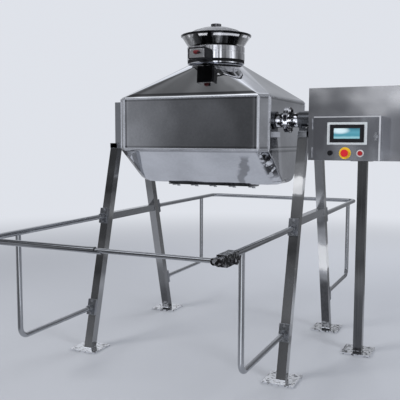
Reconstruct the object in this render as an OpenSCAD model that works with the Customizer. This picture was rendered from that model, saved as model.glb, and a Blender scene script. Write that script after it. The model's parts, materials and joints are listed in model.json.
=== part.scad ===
// Octagonal blender: a tapered mixing vessel turned about a level axis between two leg frames,
// with a drive housing, a control box, guard rails and a lift-up gate. Millimetres, +Z up.
// Origin on the floor under the centre of the vessel, +X to the drive side, -Y to the operator.

/* [Vessel] */
// height of the turning axis above the floor
axis_height = 1602; // [1300:1:1900]
// half of the vessel's width along the axis
vessel_half_width = 542; // [400:1:640]
// half of the vessel's depth
vessel_half_depth = 464; // [340:1:540]
// width of the cut on each upright corner
corner_chamfer = 55; // [20:1:120]
// depth of the band's lower edge below the axis
band_drop = 206; // [150:1:280]
// height of the band's upper edge above the axis
band_rise = 148; // [100:1:220]
// depth of the flat base below the axis
base_drop = 439; // [380:1:500]
// half of the base's depth
base_half_depth = 140; // [135:1:220]
// rounding where the base meets the slopes
base_edge_radius = 60; // [20:1:90]
// plate thickness of band and base
shell_wall = 4; // [3:0.5:6]
// level thickness of the sloping top
top_wall = 6; // [4:0.5:9]
// height above the axis where the sloping top ends in a circle
neck_rise = 394; // [320:1:460]
// outer radius of that circle
neck_radius = 190; // [165:1:230]

/* [Charging neck] */
// bore through the valve
bore_radius = 152; // [120:1:160]
// neck flange radius
neck_flange_radius = 202; // [185:1:240]
// neck flange thickness
neck_flange_thickness = 8; // [5:1:14]
// neck gasket thickness
neck_gasket_thickness = 20; // [10:1:26]
// outer radius of the valve rings
ring_radius = 205; // [190:1:245]
// height of the lower valve ring
lower_ring_height = 48; // [42:1:60]
// height of the upper valve ring
upper_ring_height = 40; // [28:1:60]
// height of the groove between the rings
ring_groove_height = 6; // [3:0.5:10]
// depth of the groove between the rings
ring_groove_depth = 5; // [2:0.5:8]
// radial thickness of the seat
seat_thickness = 10; // [6:0.5:14]
// height of the seat
seat_height = 28; // [24:1:36]
// disc thickness
disc_thickness = 12; // [8:1:16]
// half length of the disc's boss
disc_boss_reach = 130; // [100:1:136]
// stem radius
stem_radius = 11; // [8:0.5:13]
// radius of the stem bosses on the lower ring
stem_boss_radius = 20; // [16:1:22]

/* [Charging cone] */
// flange thickness under the cone
cone_flange_thickness = 4; // [3:0.5:8]
// cone radius at its foot
cone_foot_radius = 193; // [170:1:230]
// cone radius at its rim
cone_rim_radius = 245; // [210:1:280]
// cone height above its flange
cone_rise = 82; // [60:1:110]
// cone plate thickness
cone_wall = 3; // [2:0.5:5]
// width of the flat rim
rim_width = 10; // [6:1:16]
// lid plate thickness
lid_wall = 3; // [2:0.5:5]
// radius where the lid's dome starts
lid_dome_radius = 218; // [190:1:230]
// radius of the lid's shoulder
lid_shoulder_radius = 160; // [130:1:180]
// rise of the lid's shoulder
lid_shoulder_rise = 32; // [20:1:40]
// radius of the lid's top
lid_top_radius = 103; // [70:1:120]
// rise of the lid's top
lid_top_rise = 50; // [40:1:60]
// radius of the lid's knob
knob_radius = 37; // [24:1:44]
// height of the lid's knob
knob_height = 32; // [20:1:40]

/* [Valve actuator] */
// half width of the actuator
actuator_half_width = 65; // [50:1:80]
// front face of the actuator from the vessel's centre
actuator_front = 325; // [290:1:350]
// height of the actuator's underside above the neck
actuator_lift = 6; // [1:0.5:14]
// actuator height
actuator_height = 80; // [66:1:92]
// corner cut of the actuator
actuator_chamfer = 10; // [4:1:16]
// thickness of the actuator's cover
actuator_cover_thickness = 13; // [8:1:20]
// indicator width
indicator_width = 56; // [40:1:66]
// indicator height
indicator_height = 30; // [24:1:40]
// indicator depth
indicator_depth = 20; // [12:1:26]

/* [Bottom door] */
// half width of the door
door_half_width = 314; // [260:1:360]
// half depth of the door
door_half_depth = 130; // [120:1:132]
// rim width of the door frame
door_rim = 32; // [24:1:40]
// thickness of the door frame
door_frame_thickness = 6; // [4:0.5:10]
// thickness of the door gasket
door_gasket_thickness = 2; // [1:0.5:4]
// door plate thickness
door_thickness = 8; // [5:0.5:12]
// width of a clamp yoke
yoke_width = 18; // [12:1:24]
// thickness of a clamp yoke
yoke_thickness = 10; // [8:1:16]
// half length of a clamp yoke
yoke_half_length = 86; // [70:1:110]
// spacing of the clamps
clamp_spacing = 148; // [110:1:150]
// radius of a clamp screw
clamp_screw_radius = 6; // [4:0.5:8]
// how far a clamp screw hangs below its yoke
clamp_screw_drop = 11; // [10:1:30]
// length of a clamp's T bar
clamp_bar_length = 24; // [18:1:60]

/* [Trunnions] */
// trunnion flange radius
trunnion_flange_radius = 88; // [75:1:110]
// trunnion flange thickness
trunnion_flange_thickness = 16; // [10:1:24]
// trunnion bolt circle radius
trunnion_bolt_circle = 68.5; // [60:0.5:80]
// trunnion bolt radius
trunnion_bolt_radius = 6; // [4:0.5:8]
// trunnion bolt head radius
trunnion_head_radius = 11; // [8:0.5:14]
// trunnion hub radius
hub_radius = 50; // [42:1:56]
// shaft radius
shaft_radius = 35; // [28:0.5:40]
// how far the idle shaft ends behind the leg frame's middle
idle_shaft_tail = 17; // [14:1:20]

/* [Bearings] */
// bearing outer radius
bearing_radius = 50; // [46:0.5:54]
// bearing width
bearing_width = 25; // [18:1:30]
// how far the drive side bearing housing starts before the leg frame's middle
drive_bearing_lead = 81; // [76:1:90]
// how far it ends behind the leg frame's middle
drive_bearing_tail = 34; // [32:1:36]
// radius of the bearing housings
bearing_housing_radius = 61; // [58:1:70]
// lip in front of the bearings
bearing_lip = 18; // [10:1:30]
// radius of the flange at the drive housing
spigot_radius = 78; // [70:1:90]
// thickness of the drive side bearing foot
drive_foot_thickness = 18; // [17:1:24]
// half depth of the bearing feet
bearing_foot_half_depth = 82; // [70:1:120]
// half depth of the bearing webs
bearing_web_half_depth = 44; // [30:1:56]
// thickness of the idle side bearing foot
idle_foot_thickness = 14; // [10:1:20]
// half length of the idle side bearing housing
idle_bearing_half_length = 20; // [16:1:26]
// bearing bolt radius
bearing_bolt_radius = 7; // [5:0.5:8]
// bearing bolt head radius
bearing_head_radius = 12; // [9:0.5:14]

/* [Leg frames] */
// distance of the middle of the leg frames from the vessel's side
frame_gap = 161; // [150:1:180]
// width of the square leg tube
leg_width = 60; // [50:1:80]
// wall of the square tubes
tube_wall = 3; // [2:0.5:5]
// depth position of the legs at the foot plates
foot_reach = 586; // [480:1:640]
// how much a leg leans inwards for each unit of height
leg_lean_share = 0.2645; // [0.2:0.0005:0.3]
// depth of the drive side leg tops below the axis
drive_leg_drop = 117; // [112:1:132]
// depth of the idle side leg tops below the axis
idle_leg_drop = 197; // [182:1:220]
// height of the drive side top beam
drive_beam_height = 40; // [30:1:50]
// height of the idle side top beam
idle_beam_height = 36; // [30:1:50]
// side of the cross bars
cross_bar_size = 50; // [40:1:60]
// middle of the idle side cross bar
idle_cross_height = 911; // [860:1:960]
// middle of the drive side cross bar
drive_cross_height = 950; // [860:1:980]
// side of a foot plate
foot_plate_size = 200; // [160:1:240]
// thickness of a foot plate
foot_plate_thickness = 12; // [8:1:20]
// anchor hole radius
anchor_hole_radius = 9; // [6:0.5:12]
// distance of an anchor hole from the middle of its plate
anchor_offset = 70; // [55:1:85]

/* [Guard rails] */
// rail tube radius
rail_radius = 16; // [13:0.5:19]
// rail tube wall
rail_wall = 2; // [1.5:0.5:3]
// how much thicker the upper rail's radius is
rail_growth = 1; // [0.5:0.1:3]
// distance of the upright rail tubes from the vessel's centre
rail_reach = 1300; // [1150:1:1400]
// distance of the rail corners behind the upright rail tubes
corner_reach = 300; // [200:1:340]
// height of the upper rail tube
rail_top = 918; // [860:1:960]
// height of the lower rail tube
rail_bottom = 287; // [240:1:340]
// bend radius of the rail tubes
rail_bend = 60; // [45:1:90]
// clamp width
clamp_width = 65; // [50:1:80]
// clamp thickness
clamp_depth = 22; // [14:1:30]
// clamp height
clamp_height = 110; // [90:1:130]
// clamp socket radius
socket_radius = 22; // [20:0.5:30]
// end of the clamp socket from the leg
socket_length = 62; // [50:1:80]

/* [Front gate] */
// left end of the boom
boom_start = 43; // [-60:1:120]
// distance of the gate's joint pin from the right rail
gate_pin_inset = 13; // [4:1:30]
// joint eye radius
eye_radius = 18; // [15:0.5:22]
// boom radius
boom_radius = 12; // [9:0.5:12.5]
// half thickness of the joint eye
eye_half_width = 13; // [12.5:0.5:18]
// cheek thickness of the gate fork
cheek_thickness = 8; // [6:0.5:12]
// gate pin radius
gate_pin_radius = 8; // [6:0.5:10]
// depth of the interlock block's lower face below the rail
block_drop = 36; // [26:1:44]
// height of the interlock block's upper face above the rail
block_rise = 21; // [19:1:30]
// half width of the interlock block
block_half_width = 27; // [24:1:34]
// length of the interlock block
block_length = 150; // [120:1:190]
// distance of the block from the rail's corner
block_gap = 42; // [36:1:60]
// lug length behind the block
lug_length = 64; // [40:1:80]
// lug height
lug_height = 22; // [18:1:23]
// plunger radius
plunger_radius = 14; // [9:0.5:16]
// switch width
switch_width = 46; // [24:1:54]
// switch height
switch_height = 20; // [14:1:24]
// switch depth
switch_depth = 12; // [8:1:18]
// length of the boom's cradle
cradle_length = 40; // [30:1:90]
// cradle radius
cradle_radius = 18; // [17.5:0.5:24]

/* [Drive housing] */
// length of the drive housing
housing_length = 578; // [520:1:640]
// half depth of the drive housing
housing_half_depth = 220; // [212:1:260]
// depth of the drive housing's underside below the axis
housing_drop = 264; // [257:1:300]
// height of the drive housing's top above the axis
housing_rise = 193; // [150:1:240]
// sheet thickness of the housings
sheet = 3; // [2:0.5:4]
// shaft hole radius in the drive housing
shaft_hole_radius = 46; // [40:1:60]
// vent slot length
vent_length = 160; // [100:1:220]
// vent slot height
vent_height = 8; // [5:0.5:12]
// vent slot pitch
vent_pitch = 26; // [18:1:36]
// distance of the post from the housing's left face
post_offset = 286; // [240:1:340]
// depth position of the post
post_y = 146; // [100:1:170]
// side of the post's top plate
post_top_size = 140; // [100:1:146]

/* [Idle side cover] */
// half width of the cover
cover_half_width = 35; // [34:1:45]
// half depth of the cover
cover_half_depth = 177; // [150:1:220]
// height of the cover's top above the axis
cover_rise = 139; // [100:1:180]

/* [Gears and motor] */
// tooth size of the gears
gear_module = 4; // [3:0.5:5]
// teeth of the bull gear
bull_teeth = 60; // [48:1:60]
// teeth of the pinion
pinion_teeth = 15; // [15:1:18]
// face width of the gears
gear_width = 40; // [30:1:50]
// distance of the gears from the housing's left face
gear_offset = 58; // [40:1:64]
// hub radius of the bull gear
bull_hub_radius = 60; // [48:1:70]
// how far the bull gear's hub stands out on each side
bull_hub_stand = 8; // [4:1:12]
// lightening hole radius
lightening_radius = 17; // [10:1:20]
// pinion shaft radius
pinion_shaft_radius = 12; // [9:0.5:15]
// distance of the pinion shaft's end from the housing's left face
pinion_shaft_reach = 160; // [152:1:190]
// distance of the gearbox from the housing's left face
gearbox_offset = 126; // [120:1:140]
// gearbox length
gearbox_length = 96; // [80:1:120]
// half side of the gearbox
gearbox_half = 54; // [45:1:60]
// motor radius
motor_radius = 58; // [45:1:62]
// motor length
motor_length = 190; // [140:1:220]

/* [Control box] */
// distance of the control box from the housing's left face
box_offset = 89; // [60:1:160]
// width of the control box
box_width = 393; // [350:1:460]
// depth of the control box in front of the drive housing
box_depth = 210; // [160:1:240]
// depth of the control box's underside below the axis
box_drop = 256; // [242:1:264]
// height of the control box's top above the axis
box_rise = 5; // [1:1:38]
// thickness of the door plate
panel_thickness = 4; // [2:0.5:5]

/* [Control door hinge] */
// distance of the hinge line from the box's left face
hinge_offset = 7; // [6:0.5:10]
// knuckle length
knuckle_length = 20; // [14:1:30]
// distance of the hinges from the ends of the door
hinge_end_gap = 46; // [36:1:70]

/* [Operator panel] */
// distance of the screen's middle from the box's left face
screen_offset = 200; // [171:1:231]
// depth of the screen's middle below the axis
screen_drop = 97; // [82:1:112]
// half width of the bezel
bezel_half_width = 117; // [106:1:130]
// half height of the bezel
bezel_half_height = 66; // [58:1:72]
// bezel thickness
bezel_thickness = 4; // [2:0.5:6]
// half width of the screen frame
hmi_half_width = 100; // [92:1:105]
// half height of the screen frame
hmi_half_height = 52; // [46:1:56]
// depth of the screen unit behind the door
hmi_depth = 38; // [24:1:50]
// half width of the screen
screen_half_width = 85; // [76:1:90]
// half height of the screen
screen_half_height = 38; // [32:1:44]
// depth of the row of buttons below the axis
button_drop = 213; // [202:1:227]
// distance of the selector from the box's left face
selector_offset = 103; // [86:1:121]
// distance of the emergency stop from the box's left face
estop_offset = 191; // [171:1:211]
// distance of the push button from the box's left face
button_offset = 280; // [261:1:301]
// radius of the button holes
button_hole_radius = 11; // [9:0.5:12]
// yellow disc radius
legend_radius = 35; // [28:1:38]
// yellow disc thickness
legend_thickness = 3; // [2:0.5:4]
// emergency stop head radius
estop_radius = 22.5; // [18:0.5:26]
// emergency stop head thickness
estop_head = 16; // [10:0.5:22]
// emergency stop travel
estop_travel = 6; // [4:0.5:8]
// push button travel
button_travel = 3; // [2:0.5:4]
// push button radius
button_radius = 14; // [12:0.5:16]
// ring radius
button_ring_radius = 21; // [18:0.5:24]
// ring thickness
button_ring_thickness = 7; // [5:0.5:10]
// selector radius
selector_radius = 15; // [12:0.5:18]
// distance of the latch from the box's right face
latch_inset = 25; // [17:1:32]
// depth of the latch below the axis
latch_drop = 115; // [92:1:142]
// latch handle length
latch_handle_length = 46; // [30:1:60]

/* [Hidden] */
$fn = 64;
hull_facets = 64;
hex_sides = 6;
overrun = 5;
both_sides = [-1, 1];
rail_stub = 20;
trunnion_bolt_angles = [22.5, 67.5, 112.5, 157.5, 202.5, 247.5, 292.5, 337.5];
lightening_angles = [0, 60, 120, 180, 240, 300];
clamp_numbers = [-2, -1, 0, 1, 2];
vent_numbers = [-3, -2, -1, 0, 1, 2, 3];
contactor_numbers = [0, 1, 2];
flank_share_list = [0, 0.2, 0.4, 0.6, 0.8, 1];
half_share = 0.5;
drive_shaft_stand = 4;
hub_gap = 4;
housing_gap = 3;
stem_boss_stand = 7;
shaft_free_gap = 3;
stem_free_gap = 3;
bearing_bolt_half_gap = 14;
clamp_bolt_offset = 42;
rail_end_gap = 30;
eye_gap = 0.5;
boom_end_gap = 3;
hinge_pin_radius = 2.5;
hinge_stand = 4;
knuckle_radius = 6;
screen_thickness = 3;
selector_head = 12;
button_head = 10;
tooth_play = 0.6;
dedendum_share = 1.25;
addendum_share = 0.9;
pressure_angle = 20;
pedestal_half = 42;
fan_cover_radius = 61;
lightening_circle = 87;
post_top_thickness = 12;
running_gap = 0.05;
knob_gap = 0.5;
disc_gap = 0.5;
clamp_head_radius = 9;
rim_thickness = 5;
hmi_stand = 9;
latch_radius = 12;
plunger_length = 22;
beam_overhang = 6;
seat_stand = 2;
trunnion_head_height = 9;
bearing_head_height = 9;
bearing_bolt_inset = 16;
clamp_head_height = 7;
switch_recess = 3;
cradle_gap = 0.5;
plate_margin = 22;
inverter_width = 110;
inverter_height = 170;
inverter_depth = 96;
contactor_width = 36;
contactor_height = 60;
contactor_depth = 52;
contactor_pitch = 46;
strip_height = 32;
strip_depth = 36;
knuckle_gap = 0.5;
leaf_thickness = 2;
leaf_reach = 30;
screen_recess = 1;
hmi_neck_inset = 6;
button_stem_reach = 40;
latch_base = 6;
latch_stem_radius = 7;
latch_handle_width = 11;
latch_handle_thickness = 8;
cam_reach = 17;
cam_thickness = 4;
cam_depth = 12;
selector_grip_width = 7;
selector_grip_height = 10;
estop_neck_radius = 15;
terminal_length = 80;
terminal_width = 70;
terminal_height = 44;
gearbox_boss_radius = 26;
gearbox_boss_length = 12;
fan_cover_length = 60;
door_gasket_inset = 8;
disc_boss_radius = 19;
stem_rear_reach = 192;
knob_neck_radius = 13;
knob_neck_height = 8;
button_ring_gap = 0.6;
clamp_bar_radius = 4;
band_bottom = axis_height - band_drop;
band_top = axis_height + band_rise;
base_height = axis_height - base_drop;
neck_height = axis_height + neck_rise;
actuator_bottom = neck_height + actuator_lift;
drive_leg_top = axis_height - drive_leg_drop;
idle_leg_top = axis_height - idle_leg_drop;
housing_bottom = axis_height - housing_drop;
housing_top = axis_height + housing_rise;
cover_top = axis_height + cover_rise;
box_bottom = axis_height - box_drop;
box_top = axis_height + box_rise;
screen_z = axis_height - screen_drop;
button_z = axis_height - button_drop;
latch_z = axis_height - latch_drop;
frame_half_width = vessel_half_width + frame_gap;
drive_bearing_start = frame_half_width - drive_bearing_lead;
drive_bearing_end = frame_half_width + drive_bearing_tail;
hub_end = drive_bearing_start - hub_gap;
housing_start = drive_bearing_end + housing_gap;
housing_end = housing_start + housing_length;
post_x = housing_start + post_offset;
gear_start = housing_start + gear_offset;
drive_shaft_end = gear_start + gear_width + bull_hub_stand + drive_shaft_stand;
idle_shaft_end = frame_half_width + idle_shaft_tail;
pinion_shaft_end = housing_start + pinion_shaft_reach;
gearbox_start = housing_start + gearbox_offset;
box_start = housing_start + box_offset;
box_end = box_start + box_width;
box_front = housing_half_depth + box_depth;
screen_x = box_start + screen_offset;
selector_x = box_start + selector_offset;
estop_x = box_start + estop_offset;
button_x = box_start + button_offset;
latch_x = box_end - latch_inset;
gate_pin_x = frame_half_width - gate_pin_inset;
block_bottom = rail_top - block_drop;
block_top = rail_top + block_rise;
slope_run = vessel_half_depth - base_half_depth;
slope_rise = band_bottom - base_height;
slope_angle = atan(slope_rise / slope_run);
corner_tilt = atan(slope_run / (slope_rise * sqrt(2)));
cut_span = 2 * vessel_half_width;
flange_top = neck_height + neck_flange_thickness;
gasket_top = flange_top + neck_gasket_thickness;
lower_ring_top = gasket_top + lower_ring_height;
upper_ring_top = lower_ring_top + upper_ring_height;
valve_height = gasket_top + lower_ring_height * half_share;
seat_bore_radius = bore_radius - seat_stand;
seat_outer_radius = seat_bore_radius + seat_thickness;
disc_radius = seat_bore_radius - disc_gap;
stem_bore_radius = stem_radius + running_gap;
stem_free_radius = stem_radius + stem_free_gap;
actuator_back = ring_radius + stem_boss_stand;
cover_back = actuator_front - actuator_cover_thickness;
indicator_front = actuator_front + knob_gap + indicator_depth;
cone_base = upper_ring_top + cone_flange_thickness;
rim_top = cone_base + cone_rise;
lid_radius = cone_rim_radius + rim_width * half_share;
knob_base = rim_top + lid_top_rise + lid_wall;
door_opening_half_width = door_half_width - door_rim;
door_opening_half_depth = door_half_depth - door_rim;
door_frame_bottom = base_height - door_frame_thickness;
door_gasket_bottom = door_frame_bottom - door_gasket_thickness;
door_bottom = door_gasket_bottom - door_thickness;
yoke_bottom = door_bottom - yoke_thickness;
trunnion_flange_end = vessel_half_width + trunnion_flange_thickness;
shaft_bore_radius = shaft_radius + running_gap;
shaft_free_radius = shaft_radius + shaft_free_gap;
drive_beam_top = drive_leg_top + drive_beam_height;
idle_beam_top = idle_leg_top + idle_beam_height;
leg_lean = atan(leg_lean_share);
leg_half_run = leg_width * half_share / cos(leg_lean);
leg_inner_half_run = (leg_width * half_share - tube_wall) / cos(leg_lean);
first_bearing_start = drive_bearing_start + bearing_lip;
last_bearing_start = drive_bearing_end - bearing_lip - bearing_width;
idle_bearing_start = -frame_half_width - bearing_width * half_share;
anchor_places = [[-anchor_offset, -anchor_offset], [-anchor_offset, anchor_offset],
    [anchor_offset, -anchor_offset], [anchor_offset, anchor_offset]];
rail_corner = rail_reach + corner_reach;
upper_rail_radius = rail_radius + rail_growth;
rail_end = rail_corner - rail_bend - rail_stub;
block_front = block_gap - rail_corner;
block_back = block_front + block_length;
block_side = frame_half_width + block_half_width;
cheek_inner = eye_half_width + eye_gap;
cheek_outer = cheek_inner + cheek_thickness;
eye_bore_radius = gate_pin_radius + running_gap;
cradle_start = boom_start - boom_end_gap;
cradle_bore_radius = boom_radius + cradle_gap;
gear_centre = gear_module * (bull_teeth + pinion_teeth) * half_share;
pinion_bore_radius = pinion_shaft_radius + running_gap;
post_top = housing_bottom - post_top_thickness;
housing_floor = housing_bottom + sheet;
box_back = housing_half_depth;
rim_front = box_front - panel_thickness;
hinge_x = box_start - hinge_offset;
hinge_y = box_front + hinge_stand;
hinge_bore_radius = hinge_pin_radius + running_gap;
hinge_places = [box_bottom + hinge_end_gap, box_top - hinge_end_gap];
knuckle_step = knuckle_length + knuckle_gap;
button_stem_radius = button_hole_radius - running_gap;
latch_hole_radius = latch_stem_radius + running_gap;
frame_colour = [0.58, 0.6, 0.63];
mirror_colour = [0.75, 0.77, 0.8];
dark_colour = [0.08, 0.08, 0.09];
grey_colour = [0.4, 0.42, 0.45];
pale_colour = [0.83, 0.84, 0.86];
red_colour = [0.75, 0.06, 0.06];
yellow_colour = [0.95, 0.8, 0.08];
screen_colour = [0.35, 0.65, 0.75];
rubber_colour = [0.05, 0.05, 0.06];

// depth position of a leg's middle at a height
function leg_y(z) = foot_reach - leg_lean_share * (z - foot_plate_thickness);
// depth position of a leg's outer face at a height
function leg_face(z) = leg_y(z) + leg_half_run;
// involute of an angle in degrees
function involute(a) = tan(a) * 180 / PI - a;

// round bar along X, starting at a point
module bar_x(start, length, radius) {
    translate(start) rotate([0, 90, 0]) cylinder(r = radius, h = length);
}

// round bar along Y, starting at a point and running to the rear
module bar_y(start, length, radius) {
    translate(start) rotate([-90, 0, 0]) cylinder(r = radius, h = length);
}

// upright ring
module ring_z(bottom, height, outer, inner) {
    translate([0, 0, bottom]) difference() {
        cylinder(r = outer, h = height);
        translate([0, 0, -overrun]) cylinder(r = inner, h = height + 2 * overrun);
    }
}

// box centred on X and Y about a point on its underside
module post_box(base, size_x, size_y, height) {
    translate(base) translate([-size_x * half_share, -size_y * half_share, 0])
        cube([size_x, size_y, height]);
}

// places a rear right piece in one of the four corners
module in_corner(side_x, side_y) {
    if (side_x > 0 && side_y > 0) children();
    if (side_x < 0 && side_y > 0) mirror([1, 0, 0]) children();
    if (side_x > 0 && side_y < 0) mirror([0, 1, 0]) children();
    if (side_x < 0 && side_y < 0) mirror([1, 0, 0]) mirror([0, 1, 0]) children();
}

// upright profile of band and base across the axis
module vessel_profile(inset) {
    band = vessel_half_depth - inset;
    knee = band_bottom + inset * (1 - sin(slope_angle)) / cos(slope_angle);
    foot = base_half_depth - inset * tan(slope_angle * half_share);
    low = base_height + inset;
    round_in = base_edge_radius - inset;
    pull = round_in * tan(slope_angle * half_share);
    far_y = foot + pull * cos(slope_angle);
    far_z = low + pull * sin(slope_angle);
    near_y = foot - pull;
    polygon([[-band, band_top], [-band, knee], [-far_y, far_z], [-near_y, low],
        [near_y, low], [far_y, far_z], [band, knee], [band, band_top]]);
    for (side = both_sides)
        translate([side * near_y, low + round_in]) circle(r = round_in);
}

// band and base as one block with its corners cut
module vessel_block(inset) {
    width = 2 * (vessel_half_width - inset);
    difference() {
        translate([-width * half_share, 0, 0]) rotate([90, 0, 90])
            linear_extrude(height = width) vessel_profile(inset);
        for (side_x = both_sides)
            for (side_y = both_sides)
                in_corner(side_x, side_y) corner_cuts(inset);
    }
}

// cuts of the rear right corner, upright and along the slope
module corner_cuts(inset) {
    translate([vessel_half_width - corner_chamfer, vessel_half_depth, band_bottom]) {
        rotate([0, 0, 45]) translate([-inset, -cut_span * half_share, -cut_span * half_share])
            cube([cut_span, cut_span, cut_span]);
        rotate([0, corner_tilt, 45])
            translate([-inset, -cut_span * half_share, -cut_span * half_share])
            cube([cut_span, cut_span, cut_span]);
    }
}

// plan of the band
module vessel_plan(inset) {
    wide = vessel_half_width - inset;
    deep = vessel_half_depth - inset;
    cut = corner_chamfer - inset * (2 - sqrt(2));
    polygon([[wide - cut, deep], [wide, deep - cut], [wide, cut - deep], [wide - cut, -deep],
        [cut - wide, -deep], [-wide, cut - deep], [-wide, deep - cut], [cut - wide, deep]]);
}

// sloping top from the band's plan to the neck's circle
module vessel_top(inset) {
    hull() {
        translate([0, 0, band_top - overrun])
            linear_extrude(height = overrun) vessel_plan(inset);
        translate([0, 0, neck_height - overrun])
            cylinder(r = neck_radius - inset, h = overrun, $fn = hull_facets);
    }
}

module vessel_shell() color(mirror_colour) difference() {
    union() {
        vessel_block(0);
        vessel_top(0);
        translate([0, 0, neck_height])
            cylinder(r = neck_flange_radius, h = neck_flange_thickness);
    }
    vessel_block(shell_wall);
    vessel_top(top_wall);
    translate([0, 0, neck_height - 2 * overrun])
        cylinder(r = bore_radius, h = neck_flange_thickness + 3 * overrun);
    post_box([0, 0, base_height - overrun], 2 * door_opening_half_width,
        2 * door_opening_half_depth, shell_wall + 2 * overrun);
}

module neck_gasket() color(rubber_colour)
    ring_z(flange_top, neck_gasket_thickness, neck_flange_radius, bore_radius);

module valve_ring_lower() color(mirror_colour) difference() {
    union() {
        ring_z(gasket_top, lower_ring_height, ring_radius, bore_radius);
        difference() {
            bar_y([0, -actuator_back, valve_height], actuator_back, stem_boss_radius);
            translate([0, 0, gasket_top])
                cylinder(r = bore_radius + seat_thickness, h = lower_ring_height);
        }
    }
    translate([0, 0, valve_height - seat_height * half_share])
        cylinder(r = seat_outer_radius, h = seat_height);
    bar_y([0, -actuator_back - overrun, valve_height],
        actuator_back + overrun + stem_rear_reach + overrun, stem_bore_radius);
}

module valve_ring_upper() color(mirror_colour) {
    ring_z(lower_ring_top, ring_groove_height, ring_radius - ring_groove_depth, bore_radius);
    ring_z(lower_ring_top + ring_groove_height, upper_ring_height - ring_groove_height,
        ring_radius, bore_radius);
}

module valve_seat() color(rubber_colour) difference() {
    ring_z(valve_height - seat_height * half_share, seat_height, seat_outer_radius,
        seat_bore_radius);
    bar_y([0, -ring_radius, valve_height], 2 * ring_radius, stem_radius + disc_gap);
}

module valve_disc() color(mirror_colour) {
    translate([0, 0, valve_height - disc_thickness * half_share])
        cylinder(r = disc_radius, h = disc_thickness);
    bar_y([0, -disc_boss_reach, valve_height], 2 * disc_boss_reach, disc_boss_radius);
    bar_y([0, -indicator_front + indicator_depth * half_share, valve_height],
        indicator_front - indicator_depth * half_share + stem_rear_reach, stem_radius);
}

module valve_indicator() color(red_colour) difference() {
    post_box([0, -indicator_front + indicator_depth * half_share,
        valve_height - indicator_height * half_share], indicator_width, indicator_depth,
        indicator_height);
    bar_y([0, -indicator_front + indicator_depth * half_share, valve_height],
        indicator_depth, stem_radius);
}

// plan of the actuator between two depths
module actuator_block(front, back) {
    wide = actuator_half_width;
    cut = actuator_chamfer;
    mid = actuator_bottom + actuator_height * half_share;
    high = actuator_height * half_share;
    translate([0, -front, mid]) rotate([-90, 0, 0]) linear_extrude(height = front - back)
        polygon([[wide - cut, high], [wide, high - cut], [wide, cut - high], [wide - cut, -high],
            [cut - wide, -high], [-wide, cut - high], [-wide, high - cut], [cut - wide, high]]);
}

module actuator_body() color(dark_colour) difference() {
    actuator_block(cover_back, actuator_back);
    bar_y([0, -actuator_front, valve_height], actuator_front, stem_free_radius);
}

module actuator_cover() color(pale_colour) difference() {
    actuator_block(actuator_front, cover_back);
    bar_y([0, -actuator_front - overrun, valve_height], actuator_front, stem_free_radius);
}

module charge_cone() color(mirror_colour)
    rotate_extrude() polygon([[bore_radius, upper_ring_top], [ring_radius, upper_ring_top],
        [ring_radius, cone_base], [cone_foot_radius, cone_base],
        [cone_rim_radius, rim_top - rim_thickness], [lid_radius, rim_top - rim_thickness],
        [lid_radius, rim_top], [cone_rim_radius - cone_wall, rim_top],
        [cone_foot_radius - cone_wall, cone_base], [bore_radius, cone_base]]);

module cone_lid() color(mirror_colour) {
    rotate_extrude() polygon([[lid_dome_radius - lid_wall, rim_top], [lid_radius, rim_top],
        [lid_radius, rim_top + lid_wall], [lid_dome_radius, rim_top + lid_wall],
        [lid_shoulder_radius, rim_top + lid_shoulder_rise + lid_wall],
        [lid_top_radius, knob_base], [0, knob_base], [0, knob_base - lid_wall],
        [lid_top_radius, knob_base - lid_wall],
        [lid_shoulder_radius, rim_top + lid_shoulder_rise]]);
    translate([0, 0, knob_base]) cylinder(r = knob_neck_radius, h = knob_neck_height);
    translate([0, 0, knob_base + knob_neck_height])
        cylinder(r = knob_radius, h = knob_height - knob_neck_height);
}

// rectangular ring under the base
module door_ring(bottom, height, edge, opening_half_width, opening_half_depth) {
    difference() {
        post_box([0, 0, bottom], 2 * (door_half_width - edge), 2 * (door_half_depth - edge),
            height);
        post_box([0, 0, bottom - overrun], 2 * opening_half_width, 2 * opening_half_depth,
            height + 2 * overrun);
    }
}

module manhole_frame() color(mirror_colour)
    door_ring(door_frame_bottom, door_frame_thickness, 0, door_opening_half_width,
        door_opening_half_depth);

module manhole_gasket() color(rubber_colour)
    door_ring(door_gasket_bottom, door_gasket_thickness, door_gasket_inset,
        door_opening_half_width, door_opening_half_depth);

module manhole_door() color(mirror_colour)
    post_box([0, 0, door_bottom], 2 * door_half_width, 2 * door_half_depth, door_thickness);

module clamp_yokes() color(frame_colour)
    for (number = clamp_numbers) difference() {
        post_box([number * clamp_spacing, 0, yoke_bottom], yoke_width, 2 * yoke_half_length,
            yoke_thickness);
        translate([number * clamp_spacing, 0, yoke_bottom - overrun])
            cylinder(r = clamp_screw_radius, h = yoke_thickness + 2 * overrun);
    }

module clamp_screws() color(frame_colour)
    for (number = clamp_numbers) {
        translate([number * clamp_spacing, 0, yoke_bottom - clamp_screw_drop])
            cylinder(r = clamp_screw_radius, h = yoke_thickness + clamp_screw_drop);
        bar_x([number * clamp_spacing - clamp_bar_length * half_share, 0,
            yoke_bottom - clamp_screw_drop + clamp_bar_radius], clamp_bar_length,
            clamp_bar_radius);
    }

// trunnion of the drive side with a chosen shaft end
module trunnion(shaft_end) {
    difference() {
        bar_x([vessel_half_width, 0, axis_height], trunnion_flange_thickness,
            trunnion_flange_radius);
        for (angle = trunnion_bolt_angles)
            trunnion_place(angle)
                bar_x([vessel_half_width - overrun, 0, 0],
                    trunnion_flange_thickness + 2 * overrun, trunnion_bolt_radius);
    }
    bar_x([trunnion_flange_end, 0, axis_height], hub_end - trunnion_flange_end, hub_radius);
    bar_x([hub_end, 0, axis_height], shaft_end - hub_end, shaft_radius);
}

// moves a piece to one place on the trunnion's bolt circle
module trunnion_place(angle) {
    translate([0, trunnion_bolt_circle * cos(angle),
        axis_height + trunnion_bolt_circle * sin(angle)]) children();
}

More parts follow.
